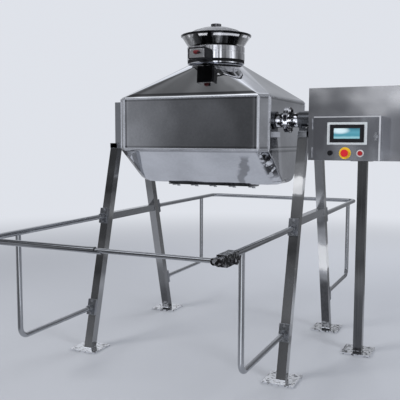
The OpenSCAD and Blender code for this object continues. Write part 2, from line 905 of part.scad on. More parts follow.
module drive_trunnion() color(mirror_colour) trunnion(drive_shaft_end);

module idle_trunnion() color(mirror_colour) mirror([1, 0, 0]) trunnion(idle_shaft_end);

module trunnion_bolts() color(frame_colour)
    for (side = both_sides)
        in_corner(side, 1)
            for (angle = trunnion_bolt_angles)
                trunnion_place(angle) {
                    bar_x([vessel_half_width, 0, 0], trunnion_flange_thickness,
                        trunnion_bolt_radius);
                    translate([trunnion_flange_end, 0, 0]) rotate([0, 90, 0])
                        cylinder(r = trunnion_head_radius, h = trunnion_head_height,
                            $fn = hex_sides);
                }

// straight leg tube section between two heights
module leg_section(low, high, half_run, width) {
    translate([frame_half_width - width * half_share, 0, 0]) rotate([90, 0, 90])
        linear_extrude(height = width)
        polygon([[leg_y(low) - half_run, low], [leg_y(low) + half_run, low],
            [leg_y(high) + half_run, high], [leg_y(high) - half_run, high]]);
}

// plate with four anchor holes
module foot_plate(middle_x, middle_y) {
    difference() {
        post_box([middle_x, middle_y, 0], foot_plate_size, foot_plate_size,
            foot_plate_thickness);
        for (place = anchor_places)
            translate([middle_x + place[0], middle_y + place[1], -overrun])
                cylinder(r = anchor_hole_radius, h = foot_plate_thickness + 2 * overrun);
    }
}

// rear right leg with its foot plate
module leg(top) {
    foot_plate(frame_half_width, foot_reach);
    difference() {
        leg_section(foot_plate_thickness, top, leg_half_run, leg_width);
        leg_section(foot_plate_thickness, top + overrun, leg_inner_half_run,
            leg_width - 2 * tube_wall);
    }
}

module idle_front_leg() color(frame_colour) in_corner(-1, -1) leg(idle_leg_top);

module idle_rear_leg() color(frame_colour) in_corner(-1, 1) leg(idle_leg_top);

module drive_front_leg() color(frame_colour) in_corner(1, -1) leg(drive_leg_top);

module drive_rear_leg() color(frame_colour) in_corner(1, 1) leg(drive_leg_top);

// square tube across the top of the legs
module top_beam(bottom, height) {
    reach = leg_face(bottom) + beam_overhang;
    difference() {
        post_box([frame_half_width, 0, bottom], leg_width, 2 * reach, height);
        post_box([frame_half_width, 0, bottom + tube_wall], leg_width - 2 * tube_wall,
            2 * (reach + overrun), height - 2 * tube_wall);
    }
}

// square bar between the legs at rail height
module cross_bar(middle) {
    low = middle - cross_bar_size * half_share;
    high = middle + cross_bar_size * half_share;
    low_y = leg_y(low) - leg_half_run;
    high_y = leg_y(high) - leg_half_run;
    hollow = cross_bar_size - 2 * tube_wall;
    difference() {
        translate([frame_half_width - cross_bar_size * half_share, 0, 0]) rotate([90, 0, 90])
            linear_extrude(height = cross_bar_size)
            polygon([[-low_y, low], [low_y, low], [high_y, high], [-high_y, high]]);
        post_box([frame_half_width, 0, low + tube_wall], hollow, 2 * foot_reach, hollow);
    }
}

module cross_members() color(frame_colour) {
    top_beam(drive_leg_top, drive_beam_height);
    cross_bar(drive_cross_height);
    mirror([1, 0, 0]) {
        top_beam(idle_leg_top, idle_beam_height);
        cross_bar(idle_cross_height);
    }
}

// quarter bend of a rail in the plane across X, between upright and lower tube
module rail_elbow(radius) {
    translate([frame_half_width, rail_reach - rail_bend, 0]) rotate([0, 0, 90])
        rotate([90, 0, 0]) rotate([0, 0, -90])
        rotate_extrude(angle = 90) translate([rail_bend, 0]) circle(r = radius);
}

// rear right rail: upper tube, upright, bend, lower tube
module rail_form(radius, extra) {
    low_bend = rail_bottom + rail_bend;
    high_start = leg_face(rail_top) + rail_end_gap - extra;
    low_start = leg_face(rail_bottom) + rail_end_gap - extra;
    bar_y([frame_half_width, high_start, rail_top], rail_end + extra - high_start,
        radius + rail_growth);
    bar_y([frame_half_width, low_start, rail_bottom], rail_reach - rail_bend - low_start,
        radius);
    translate([frame_half_width, rail_reach, low_bend])
        cylinder(r = radius, h = rail_top - low_bend);
    translate([0, 0, low_bend]) rail_elbow(radius);
}

// upper rail from the rear right side rail's end round the corner
module corner_form(radius, extra) {
    bar_y([frame_half_width, rail_end - extra, rail_top], rail_stub + extra, radius);
    translate([frame_half_width - rail_bend, rail_corner - rail_bend, rail_top])
        rotate_extrude(angle = 90) translate([rail_bend, 0]) circle(r = radius);
}

// rear right rail as a hollow tube
module rail_hoop() {
    difference() {
        rail_form(rail_radius, 0);
        rail_form(rail_radius - rail_wall, overrun);
    }
}

module idle_front_hoop() color(frame_colour) in_corner(-1, -1) rail_hoop();

module idle_rear_hoop() color(frame_colour) in_corner(-1, 1) rail_hoop();

module drive_front_hoop() color(frame_colour) in_corner(1, -1) rail_hoop();

module drive_rear_hoop() color(frame_colour) in_corner(1, 1) rail_hoop();

// clamp of the rear right leg at a height
module rail_clamp(height, tube) {
    difference() {
        union() {
            clamp_place(height)
                translate([-clamp_width * half_share, 0, -clamp_height * half_share])
                cube([clamp_width, clamp_depth, clamp_height]);
            bar_y([frame_half_width, leg_face(height) + clamp_depth * half_share, height],
                socket_length - clamp_depth * half_share, socket_radius);
        }
        bar_y([frame_half_width, leg_face(height) + rail_end_gap, height], socket_length,
            tube);
    }
}

// moves a piece to the outer face of the rear right leg
module clamp_place(height) {
    translate([frame_half_width, leg_face(height), height]) rotate([leg_lean, 0, 0]) children();
}

module rail_clamps() color(grey_colour)
    for (side_x = both_sides)
        for (side_y = both_sides)
            in_corner(side_x, side_y) {
                rail_clamp(rail_top, upper_rail_radius);
                rail_clamp(rail_bottom, rail_radius);
            }

module rail_clamp_bolts() color(frame_colour)
    for (side_x = both_sides)
        for (side_y = both_sides)
            in_corner(side_x, side_y)
                for (height = [rail_top, rail_bottom])
                    for (offset = [-clamp_bolt_offset, clamp_bolt_offset])
                        clamp_place(height) translate([0, clamp_depth, offset])
                            rotate([-90, 0, 0]) cylinder(r = clamp_head_radius,
                                h = clamp_head_height, $fn = hex_sides);

// upper rail across the rear with both its corners
module rear_form(radius, extra) {
    for (side = both_sides) in_corner(side, 1) corner_form(radius, extra);
    bar_x([rail_bend - frame_half_width, rail_corner, rail_top],
        2 * (frame_half_width - rail_bend), radius);
}

module rear_bar() color(frame_colour) difference() {
    rear_form(upper_rail_radius, 0);
    rear_form(upper_rail_radius - rail_wall, overrun);
}

// fixed half of the front rail, from its corner to the middle
module front_form(radius, extra) {
    in_corner(-1, -1) corner_form(radius, extra);
    bar_x([rail_bend - frame_half_width, -rail_corner, rail_top],
        cradle_start - cradle_length * half_share + frame_half_width - rail_bend, radius);
}

module front_fixed_bar() color(frame_colour) difference() {
    union() {
        front_form(upper_rail_radius, 0);
        bar_x([cradle_start - cradle_length, -rail_corner, rail_top], 2 * cradle_length,
            cradle_radius);
    }
    front_form(upper_rail_radius - rail_wall, overrun);
    bar_x([cradle_start, -rail_corner, rail_top], cradle_length + overrun, cradle_bore_radius);
    translate([cradle_start, -rail_corner - cradle_radius - overrun, rail_top])
        cube([cradle_length + overrun, 2 * (cradle_radius + overrun), cradle_radius + overrun]);
}

module gate_boom() color(frame_colour) difference() {
    union() {
        bar_x([boom_start, -rail_corner, rail_top], gate_pin_x - boom_start, boom_radius);
        bar_y([gate_pin_x, -rail_corner - eye_half_width, rail_top], 2 * eye_half_width,
            eye_radius);
    }
    bar_y([gate_pin_x, -rail_corner - cheek_outer, rail_top], 2 * cheek_outer,
        eye_bore_radius);
}

module gate_pin() color(mirror_colour)
    bar_y([gate_pin_x, -rail_corner - cheek_outer, rail_top], 2 * cheek_outer,
        gate_pin_radius);

module gate_block() color(frame_colour) difference() {
    union() {
        translate([frame_half_width - block_half_width, block_front, block_bottom])
            cube([2 * block_half_width, block_length, block_top - block_bottom]);
        translate([frame_half_width - lug_height * half_share, block_back - overrun,
            block_bottom])
            cube([lug_height, lug_length + overrun, lug_height]);
        for (side = both_sides)
            translate([0, -rail_corner + side * (cheek_inner + cheek_thickness * half_share), 0])
                gate_cheek();
        translate([gate_pin_x + eye_radius + eye_gap, -rail_corner - cheek_outer,
            rail_top - eye_radius])
            cube([block_side - gate_pin_x - eye_radius - eye_gap,
                block_front + rail_corner + cheek_outer + overrun, 2 * eye_radius]);
        bar_x([block_side - overrun, block_front + block_length * half_share, block_bottom
            + plunger_radius + switch_recess], plunger_length + overrun, plunger_radius);
    }
    gate_switch_place(overrun);
    bar_y([gate_pin_x, -rail_corner - cheek_outer - overrun, rail_top],
        2 * (cheek_outer + overrun), gate_pin_radius);
    in_corner(1, -1) rail_form(rail_radius, 0);
}

// one cheek of the gate fork
module gate_cheek() {
    bar_y([gate_pin_x, -cheek_thickness * half_share, rail_top], cheek_thickness,
        eye_radius);
    translate([gate_pin_x, -cheek_thickness * half_share, rail_top - eye_radius])
        cube([block_side - gate_pin_x, cheek_thickness, 2 * eye_radius]);
}

// seat of the switch in the right face of the block, open outwards by a length
module gate_switch_place(open) {
    translate([block_side - switch_recess - switch_depth, block_back - switch_width
        - switch_recess, block_bottom + switch_recess])
        cube([switch_depth + (open > 0 ? switch_recess + open : 0), switch_width,
            switch_height]);
}

module gate_switch() color(dark_colour) gate_switch_place(0);

module drive_post() color(frame_colour) {
    foot_plate(post_x, post_y);
    difference() {
        post_box([post_x, post_y, foot_plate_thickness], leg_width, leg_width,
            post_top - foot_plate_thickness);
        post_box([post_x, post_y, foot_plate_thickness], leg_width - 2 * tube_wall,
            leg_width - 2 * tube_wall, post_top - foot_plate_thickness);
    }
    post_box([post_x, post_y, post_top], post_top_size, post_top_size, post_top_thickness);
}

module drive_bearing_housing() color(mirror_colour) difference() {
    union() {
        bar_x([drive_bearing_start, 0, axis_height], drive_bearing_end - drive_bearing_start,
            bearing_housing_radius);
        bar_x([drive_bearing_end, 0, axis_height], housing_start - drive_bearing_end,
            spigot_radius);
        post_box([(first_bearing_start + drive_bearing_end) * half_share, 0, drive_beam_top],
            drive_bearing_end - first_bearing_start, 2 * bearing_foot_half_depth,
            drive_foot_thickness);
        post_box([(first_bearing_start + drive_bearing_end) * half_share, 0, drive_beam_top],
            drive_bearing_end - first_bearing_start - bearing_lip, 2 * bearing_web_half_depth,
            axis_height - drive_beam_top);
    }
    bar_x([drive_bearing_start - overrun, 0, axis_height],
        housing_start - drive_bearing_start + 2 * overrun, shaft_free_radius);
    bar_x([first_bearing_start, 0, axis_height], housing_start - first_bearing_start + overrun,
        bearing_radius);
    for (side_x = both_sides)
        for (side_y = both_sides)
            translate([frame_half_width + side_x * bearing_bolt_half_gap,
                side_y * (bearing_foot_half_depth - bearing_bolt_inset), drive_beam_top])
                cylinder(r = bearing_bolt_radius, h = drive_foot_thickness);
}

module idle_bearing_housing() color(grey_colour) difference() {
    union() {
        bar_x([-frame_half_width - idle_bearing_half_length, 0, axis_height],
            2 * idle_bearing_half_length, bearing_housing_radius);
        post_box([-frame_half_width, 0, idle_beam_top], 2 * (bearing_bolt_half_gap
            + bearing_head_radius), 2 * bearing_foot_half_depth, idle_foot_thickness);
        post_box([-frame_half_width, 0, idle_beam_top], 2 * idle_bearing_half_length,
            2 * bearing_web_half_depth, axis_height - idle_beam_top);
    }
    bar_x([-frame_half_width - idle_bearing_half_length - overrun, 0, axis_height],
        2 * (idle_bearing_half_length + overrun), shaft_free_radius);
    bar_x([idle_bearing_start, 0, axis_height], bearing_width + idle_bearing_half_length,
        bearing_radius);
    for (side_x = both_sides)
        for (side_y = both_sides)
            translate([-frame_half_width + side_x * bearing_bolt_half_gap,
                side_y * (bearing_foot_half_depth - bearing_bolt_inset), idle_beam_top])
                cylinder(r = bearing_bolt_radius, h = idle_foot_thickness);
}

module bearings() color(grey_colour)
    for (start = [first_bearing_start, last_bearing_start, idle_bearing_start])
        difference() {
            bar_x([start, 0, axis_height], bearing_width, bearing_radius);
            bar_x([start - overrun, 0, axis_height], bearing_width + 2 * overrun,
                shaft_bore_radius);
        }

// bolts of one bearing foot
module foot_bolts(middle_x, bottom, foot) {
    for (side_x = both_sides)
        for (side_y = both_sides)
            translate([middle_x + side_x * bearing_bolt_half_gap,
                side_y * (bearing_foot_half_depth - bearing_bolt_inset), bottom]) {
                cylinder(r = bearing_bolt_radius, h = foot);
                translate([0, 0, foot])
                    cylinder(r = bearing_head_radius, h = bearing_head_height, $fn = hex_sides);
            }
}

module bearing_bolts() color(frame_colour) {
    foot_bolts(frame_half_width, drive_beam_top, drive_foot_thickness);
    foot_bolts(-frame_half_width, idle_beam_top, idle_foot_thickness);
}

module idle_cover() color(frame_colour) difference() {
    post_box([-frame_half_width, 0, idle_beam_top], 2 * cover_half_width, 2 * cover_half_depth,
        cover_top - idle_beam_top);
    post_box([-frame_half_width, 0, idle_beam_top - overrun], 2 * (cover_half_width - sheet),
        2 * (cover_half_depth - sheet), cover_top - idle_beam_top - sheet + overrun);
    bar_x([-frame_half_width, 0, axis_height], cover_half_width + overrun, shaft_free_radius);
}

module drive_housing() color(grey_colour) difference() {
    translate([housing_start, -housing_half_depth, housing_bottom])
        cube([housing_end - housing_start, 2 * housing_half_depth - sheet,
            housing_top - housing_bottom]);
    translate([housing_start + sheet, sheet - housing_half_depth, housing_floor])
        cube([housing_end - housing_start - 2 * sheet, 2 * housing_half_depth,
            housing_top - housing_bottom - 2 * sheet]);
    bar_x([housing_start - overrun, 0, axis_height], sheet + 2 * overrun, shaft_hole_radius);
}

module housing_rear_cover() color(grey_colour) difference() {
    translate([housing_start, housing_half_depth - sheet, housing_bottom])
        cube([housing_end - housing_start, sheet, housing_top - housing_bottom]);
    for (number = vent_numbers)
        translate([(housing_start + housing_end - vent_length) * half_share,
            housing_half_depth - sheet - overrun, axis_height + number * vent_pitch])
            cube([vent_length, sheet + 2 * overrun, vent_height]);
}

// side face of a gear across the axis
module gear_face(teeth) {
    pitch_r = gear_module * teeth * half_share;
    base_r = pitch_r * cos(pressure_angle);
    tip_r = pitch_r + gear_module * addendum_share;
    root_r = pitch_r - gear_module * dedendum_share;
    low_r = max(base_r, root_r);
    half_tooth = 90 / teeth - tooth_play * half_share * half_share / pitch_r * 180 / PI;
    reach = half_tooth + involute(pressure_angle);
    pitch_step = 360 / teeth;
    flank = [for (share = flank_share_list)
        let (r = low_r + (tip_r - low_r) * share) [r, reach - involute(acos(base_r / r))]];
    polygon([for (tooth = [0:teeth - 1])
        let (middle = tooth * pitch_step)
        for (point = concat([[root_r, -reach]], [for (f = flank) [f[0], -f[1]]],
            [for (i = [len(flank) - 1:-1:0]) flank[i]], [[root_r, reach]]))
        point[0] * [cos(middle + point[1]), sin(middle + point[1])]]);
}

module bull_gear() color(grey_colour) difference() {
    union() {
        translate([gear_start, 0, axis_height]) rotate([90, 0, 90])
            linear_extrude(height = gear_width) gear_face(bull_teeth);
        bar_x([gear_start - bull_hub_stand, 0, axis_height], gear_width + 2 * bull_hub_stand,
            bull_hub_radius);
    }
    bar_x([gear_start - bull_hub_stand - overrun, 0, axis_height],
        gear_width + 2 * (bull_hub_stand + overrun), shaft_radius);
    for (angle = lightening_angles)
        bar_x([gear_start - overrun, lightening_circle * cos(angle),
            axis_height + lightening_circle * sin(angle)], gear_width + 2 * overrun,
            lightening_radius);
}

module drive_pinion() color(grey_colour) {
    translate([gear_start, gear_centre, axis_height]) rotate([90, 0, 90])
        linear_extrude(height = gear_width) gear_face(pinion_teeth);
    bar_x([gear_start - bull_hub_stand, gear_centre, axis_height],
        pinion_shaft_end - gear_start + bull_hub_stand, pinion_shaft_radius);
}

module gear_motor() color(grey_colour) {
    gearbox_end = gearbox_start + gearbox_length;
    motor_end = gearbox_end + motor_length;
    difference() {
        union() {
            translate([gearbox_start, gear_centre - gearbox_half, axis_height - gearbox_half])
                cube([gearbox_length, 2 * gearbox_half, 2 * gearbox_half]);
            bar_x([gearbox_start - gearbox_boss_length, gear_centre, axis_height],
                gearbox_boss_length, gearbox_boss_radius);
        }
        bar_x([gearbox_start - gearbox_boss_length - overrun, gear_centre, axis_height],
            pinion_shaft_end - gearbox_start + gearbox_boss_length + 2 * overrun,
            pinion_bore_radius);
    }
    bar_x([gearbox_end, gear_centre, axis_height], motor_length, motor_radius);
    bar_x([motor_end, gear_centre, axis_height], fan_cover_length, fan_cover_radius);
    translate([gearbox_end + overrun, gear_centre - terminal_width * half_share, axis_height])
        cube([terminal_length, terminal_width, motor_radius + terminal_height]);
    post_box([gearbox_start + gearbox_length * half_share, gear_centre, housing_floor],
        2 * pedestal_half, 2 * pedestal_half, axis_height - gearbox_half - housing_floor);
}

module control_box() color(frame_colour) difference() {
    union() {
        difference() {
            translate([box_start, -rim_front, box_bottom])
                cube([box_end - box_start, rim_front - box_back, box_top - box_bottom]);
            translate([box_start + sheet, -rim_front - overrun, box_bottom + sheet])
                cube([box_end - box_start - 2 * sheet, rim_front - box_back - sheet + overrun,
                    box_top - box_bottom - 2 * sheet]);
        }
        for (place = hinge_places)
            for (side = both_sides)
                translate([0, 0, place + side * knuckle_step
                    - knuckle_length * half_share]) box_knuckle();
    }
    for (place = hinge_places)
        translate([hinge_x, -hinge_y, place - 2 * knuckle_step])
            cylinder(r = hinge_pin_radius, h = 4 * knuckle_step);
}

// knuckle of the box with the leaf that carries it
module box_knuckle() {
    translate([hinge_x, -hinge_y, 0]) cylinder(r = knuckle_radius, h = knuckle_length);
    translate([hinge_x, -hinge_y, 0])
        cube([hinge_offset - knuckle_gap, hinge_y - rim_front + leaf_reach, knuckle_length]);
    translate([box_start - knuckle_gap - leaf_thickness, -rim_front + leaf_thickness, 0])
        cube([knuckle_gap + leaf_thickness, leaf_reach - leaf_thickness, knuckle_length]);
}

module hinge_pins() color(mirror_colour)
    for (place = hinge_places)
        translate([hinge_x, -hinge_y, place - knuckle_step - knuckle_length * half_share])
            cylinder(r = hinge_pin_radius, h = 2 * knuckle_step + knuckle_length);

module control_plate() color(pale_colour) {
    back = box_back + sheet;
    low = box_bottom + plate_margin;
    left = box_start + plate_margin;
    translate([left, -back - sheet, low])
        cube([box_end - box_start - 2 * plate_margin, sheet,
            box_top - box_bottom - 2 * plate_margin]);
    translate([left + plate_margin, -back - sheet - inverter_depth, low + plate_margin])
        cube([inverter_width, inverter_depth + sheet * half_share, inverter_height]);
    for (number = contactor_numbers)
        translate([left + 2 * plate_margin + inverter_width + number * contactor_pitch,
            -back - sheet - contactor_depth, low + 2 * plate_margin + strip_height])
            cube([contactor_width, contactor_depth + sheet * half_share, contactor_height]);
    translate([left + 2 * plate_margin + inverter_width, -back - sheet - strip_depth,
        low + plate_margin])
        cube([2 * contactor_pitch + contactor_width, strip_depth + sheet * half_share,
            strip_height]);
}

module control_door() color(frame_colour) difference() {
    union() {
        translate([box_start, -box_front, box_bottom])
            cube([box_end - box_start, panel_thickness, box_top - box_bottom]);
        for (place = hinge_places)
            translate([hinge_x, -hinge_y, place - knuckle_length * half_share]) {
                cylinder(r = knuckle_radius, h = knuckle_length);
                translate([0, hinge_stand - leaf_thickness, 0])
                    cube([leaf_reach, leaf_thickness, knuckle_length]);
            }
    }
    for (place = hinge_places)
        translate([hinge_x, -hinge_y, place - knuckle_length])
            cylinder(r = hinge_bore_radius, h = 2 * knuckle_length);
    translate([screen_x - hmi_half_width + hmi_neck_inset, -box_front - overrun,
        screen_z - hmi_half_height + hmi_neck_inset])
        cube([2 * (hmi_half_width - hmi_neck_inset), panel_thickness + 2 * overrun,
            2 * (hmi_half_height - hmi_neck_inset)]);
    for (place = [selector_x, estop_x, button_x])
        bar_y([place, -box_front - overrun, button_z], panel_thickness + 2 * overrun,
            button_hole_radius);
    bar_y([latch_x, -box_front - overrun, latch_z], panel_thickness + 2 * overrun,
        latch_hole_radius);
}

module hmi_bezel() color(pale_colour) difference() {
    translate([screen_x - bezel_half_width, -box_front - bezel_thickness,
        screen_z - bezel_half_height])
        cube([2 * bezel_half_width, bezel_thickness, 2 * bezel_half_height]);
    translate([screen_x - hmi_half_width, -box_front - bezel_thickness - overrun,
        screen_z - hmi_half_height])
        cube([2 * hmi_half_width, bezel_thickness + 2 * overrun, 2 * hmi_half_height]);
}

module hmi_housing() color(dark_colour) difference() {
    union() {
        translate([screen_x - hmi_half_width, -box_front - hmi_stand,
            screen_z - hmi_half_height])
            cube([2 * hmi_half_width, hmi_stand, 2 * hmi_half_height]);
        translate([screen_x - hmi_half_width + hmi_neck_inset, -box_front,
            screen_z - hmi_half_height + hmi_neck_inset])
            cube([2 * (hmi_half_width - hmi_neck_inset), hmi_depth,
                2 * (hmi_half_height - hmi_neck_inset)]);
    }
    translate([screen_x - screen_half_width, -box_front - hmi_stand - overrun,
        screen_z - screen_half_height])
        cube([2 * screen_half_width, screen_thickness + screen_recess + overrun,
            2 * screen_half_height]);
}

module hmi_screen() color(screen_colour)
    translate([screen_x - screen_half_width, -box_front - hmi_stand + screen_recess,
        screen_z - screen_half_height])
        cube([2 * screen_half_width, screen_thickness, 2 * screen_half_height]);

module estop_legend() color(yellow_colour) difference() {
    bar_y([estop_x, -box_front - legend_thickness, button_z], legend_thickness, legend_radius);
    bar_y([estop_x, -box_front - legend_thickness - overrun, button_z],
        legend_thickness + 2 * overrun, button_hole_radius);
}

module estop_button() color(red_colour) {
    neck_front = box_front + legend_thickness + estop_travel + knob_gap;
    bar_y([estop_x, -neck_front - estop_head, button_z], estop_head * half_share, estop_radius);
    bar_y([estop_x, -neck_front - estop_head * half_share, button_z], estop_head * half_share,
        estop_neck_radius);
    bar_y([estop_x, -neck_front, button_z], neck_front - box_front + button_stem_reach,
        button_stem_radius);
}

module button_ring() color(pale_colour) difference() {
    bar_y([button_x, -box_front - button_ring_thickness, button_z], button_ring_thickness,
        button_ring_radius);
    bar_y([button_x, -box_front - button_ring_thickness - overrun, button_z],
        button_ring_thickness + 2 * overrun, button_radius + button_ring_gap);
}

module push_button() color(red_colour) {
    head_back = box_front + button_travel + knob_gap;
    bar_y([button_x, -head_back - button_head, button_z], button_head, button_radius);
    bar_y([button_x, -head_back, button_z], head_back - box_front + button_stem_reach,
        button_stem_radius);
}

module selector_knob() color(dark_colour) {
    head_back = box_front + knob_gap;
    bar_y([selector_x, -head_back - selector_head, button_z], selector_head, selector_radius);
    translate([selector_x - selector_grip_width * half_share,
        -head_back - selector_head - selector_grip_height, button_z - selector_radius])
        cube([selector_grip_width, selector_grip_height, 2 * selector_radius]);
    bar_y([selector_x, -head_back, button_z], head_back - box_front + button_stem_reach,
        button_stem_radius);
}

module door_latch() color(dark_colour) {
    base_back = box_front + knob_gap;
    bar_y([latch_x, -base_back - latch_base, latch_z], latch_base, latch_radius);
    translate([latch_x - latch_handle_width * half_share,
        -base_back - latch_base - latch_handle_thickness,
        latch_z - latch_handle_length * half_share])
        cube([latch_handle_width, latch_handle_thickness, latch_handle_length]);
    bar_y([latch_x, -base_back, latch_z],
        knob_gap + panel_thickness + cam_depth + cam_thickness, latch_stem_radius);
    translate([latch_x - latch_stem_radius, -rim_front + cam_depth,
        latch_z - latch_stem_radius])
        cube([latch_stem_radius + cam_reach, cam_thickness, 2 * latch_stem_radius]);
}

idle_front_leg();
idle_rear_leg();
drive_front_leg();
drive_rear_leg();
cross_members();
idle_front_hoop();
idle_rear_hoop();
drive_front_hoop();
drive_rear_hoop();
rail_clamps();
rail_clamp_bolts();
front_fixed_bar();
gate_block();
gate_pin();
gate_switch();
rear_bar();
drive_post();
drive_bearing_housing();
idle_bearing_housing();
bearings();
bearing_bolts();
idle_cover();
drive_housing();
housing_rear_cover();
gear_motor();
control_box();
control_plate();
hinge_pins();
gate_boom();
drive_pinion();
control_door();
hmi_bezel();
hmi_housing();
hmi_screen();
estop_legend();
button_ring();
estop_button();
selector_knob();
push_button();
door_latch();
vessel_shell();
neck_gasket();
valve_ring_lower();
valve_ring_upper();
valve_seat();
actuator_body();
actuator_cover();
charge_cone();
manhole_frame();
manhole_gasket();
manhole_door();
clamp_yokes();
clamp_screws();
drive_trunnion();
idle_trunnion();
trunnion_bolts();
bull_gear();
valve_disc();
valve_indicator();
cone_lid();
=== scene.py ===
"""Looks of an octagonal blender: a mirror-polished vessel that turns between two pairs of legs,
with its guard rails, its drive housing and its control box. The file follows the machine as it
is put together, from the studio and the legs to the buttons of the control box."""
import json
import math

import bmesh
import bpy
import numpy as np
from mathutils import Matrix, Vector

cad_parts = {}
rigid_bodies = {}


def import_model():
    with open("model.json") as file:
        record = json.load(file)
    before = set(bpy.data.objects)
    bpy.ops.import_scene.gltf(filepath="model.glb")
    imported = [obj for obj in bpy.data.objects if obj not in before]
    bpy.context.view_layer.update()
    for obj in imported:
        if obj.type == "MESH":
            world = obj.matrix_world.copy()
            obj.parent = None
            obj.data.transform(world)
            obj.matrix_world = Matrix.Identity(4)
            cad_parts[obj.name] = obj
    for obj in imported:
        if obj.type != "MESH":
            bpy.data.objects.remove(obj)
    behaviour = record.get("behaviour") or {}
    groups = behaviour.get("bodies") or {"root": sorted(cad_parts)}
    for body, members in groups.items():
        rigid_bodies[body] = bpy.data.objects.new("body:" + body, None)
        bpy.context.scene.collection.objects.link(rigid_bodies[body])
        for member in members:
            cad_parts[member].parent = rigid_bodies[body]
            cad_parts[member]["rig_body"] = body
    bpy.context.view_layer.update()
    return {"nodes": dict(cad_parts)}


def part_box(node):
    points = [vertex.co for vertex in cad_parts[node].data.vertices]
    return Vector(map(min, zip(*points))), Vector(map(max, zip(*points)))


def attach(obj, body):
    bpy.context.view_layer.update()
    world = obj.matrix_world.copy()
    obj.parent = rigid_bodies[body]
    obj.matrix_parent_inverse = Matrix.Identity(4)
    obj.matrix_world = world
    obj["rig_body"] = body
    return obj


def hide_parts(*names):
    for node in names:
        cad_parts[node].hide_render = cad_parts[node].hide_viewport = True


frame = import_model()


# Studio: a plain pale floor that fades into a pale backdrop, and three large soft lamps. What
# polished steel mirrors is that same backdrop with grey cards and lit panels stood round it, as
# chrome is set up for a photograph, so that the steel keeps its dark and bright bands.

class Signal:
    """A shader socket in a sum: a + b, 1 - a or a * 3 adds the Math node that it needs."""

    def __init__(self, recipe, socket):
        self.recipe, self.socket = recipe, socket

    def _math(self, operation, first, second):
        return self.recipe.node("Math", {"operation": operation}, {0: first, 1: second})

    def __add__(self, other):
        return self._math("ADD", self, other)

    def __radd__(self, other):
        return self._math("ADD", other, self)

    def __sub__(self, other):
        return self._math("SUBTRACT", self, other)

    def __rsub__(self, other):
        return self._math("SUBTRACT", other, self)

    def __mul__(self, other):
        return self._math("MULTIPLY", self, other)

    def __truediv__(self, other):
        return self._math("DIVIDE", self, other)

    def __abs__(self):
        return self.recipe.node("Math", {"operation": "ABSOLUTE"}, {0: self})

    def clamped(self):
        """The same, held between 0 and 1."""
        return self.recipe.node("Clamp", None, {"Value": self})


class Recipe:
    """A node tree being mixed. node() adds any node: its type, its settings, then what its
    sockets hold, each a value or a Signal."""

    def __init__(self, owner):
        owner.use_nodes = True
        self.owner, self.tree = owner, owner.node_tree

    def join(self, value, socket):
        if isinstance(value, Signal):
            self.tree.links.new(value.socket, socket)
        else:
            socket.default_value = value

    def node(self, kind, settings=None, sockets=None, out=0):
        made = self.tree.nodes.new("ShaderNode" + kind)
        for name, value in (settings or {}).items():
            if name == "stops":
                stops = made.color_ramp.elements
                while len(stops) < len(value):
                    stops.new(1.0)
                for stop, (at, tone) in zip(stops, value):
                    stop.position = at
                    stop.color = (tone, tone, tone, 1) if isinstance(tone, (int, float)) else tone
            elif name == "blend":
                made.color_ramp.interpolation = value
            else:
                setattr(made, name, value)
        for name, value in (sockets or {}).items():
            self.join(value, made.inputs[name])
        return Signal(self, made.outputs[out])

    def mix(self, share, first, second):
        """Colour between first and second, by share."""
        return self.node("Mix", {"data_type": "RGBA"}, {0: share, 6: first, 7: second}, 2)

    def parts(self, vector):
        """The three numbers of a vector."""
        cut = self.tree.nodes.new("ShaderNodeSeparateXYZ")
        self.join(vector, cut.inputs[0])
        return [Signal(self, socket) for socket in cut.outputs]

    def step(self, value, low, high):
        """0 below low, 1 above high, and a smooth rise between them."""
        return self.node("MapRange", {"interpolation_type": "SMOOTHSTEP"},
                         {"Value": value, "From Min": low, "From Max": high})

    def fall(self, value, low, high):
        """1 below low, 0 above high, and a smooth fall between them."""
        return 1 - self.step(value, low, high)

    def within(self, value, low, high, soft=None):
        """1 between low and high and 0 outside, with a smooth slope inside each end, which is
        soft wide or else a quarter of the whole."""
        soft = soft or (high - low) / 4
        return self.step(value, low, low + soft) * self.fall(value, high - soft, high)

    def compass(self, vector):
        """A vector's angle round Z in degrees, from +X towards +Y, between -180 and 180."""
        east, north = self.parts(vector)[:2]
        return self.node("Math", {"operation": "ARCTAN2"}, {0: north, 1: east}) * (180 / math.pi)

    def tones(self, table, value, low, high):
        """Tone at a value between low and high, eased between a table's rows (value, tone)."""
        stops = [((at - low) / (high - low), tone) for at, tone in table]
        return self.node("ValToRGB", {"blend": "EASE", "stops": stops},
                         {0: (value - low) / (high - low)})


BACKDROP = (0.74, 0.765, 0.82, 1)
SOFT_LIGHT = (0.50, 0.515, 0.55, 1)
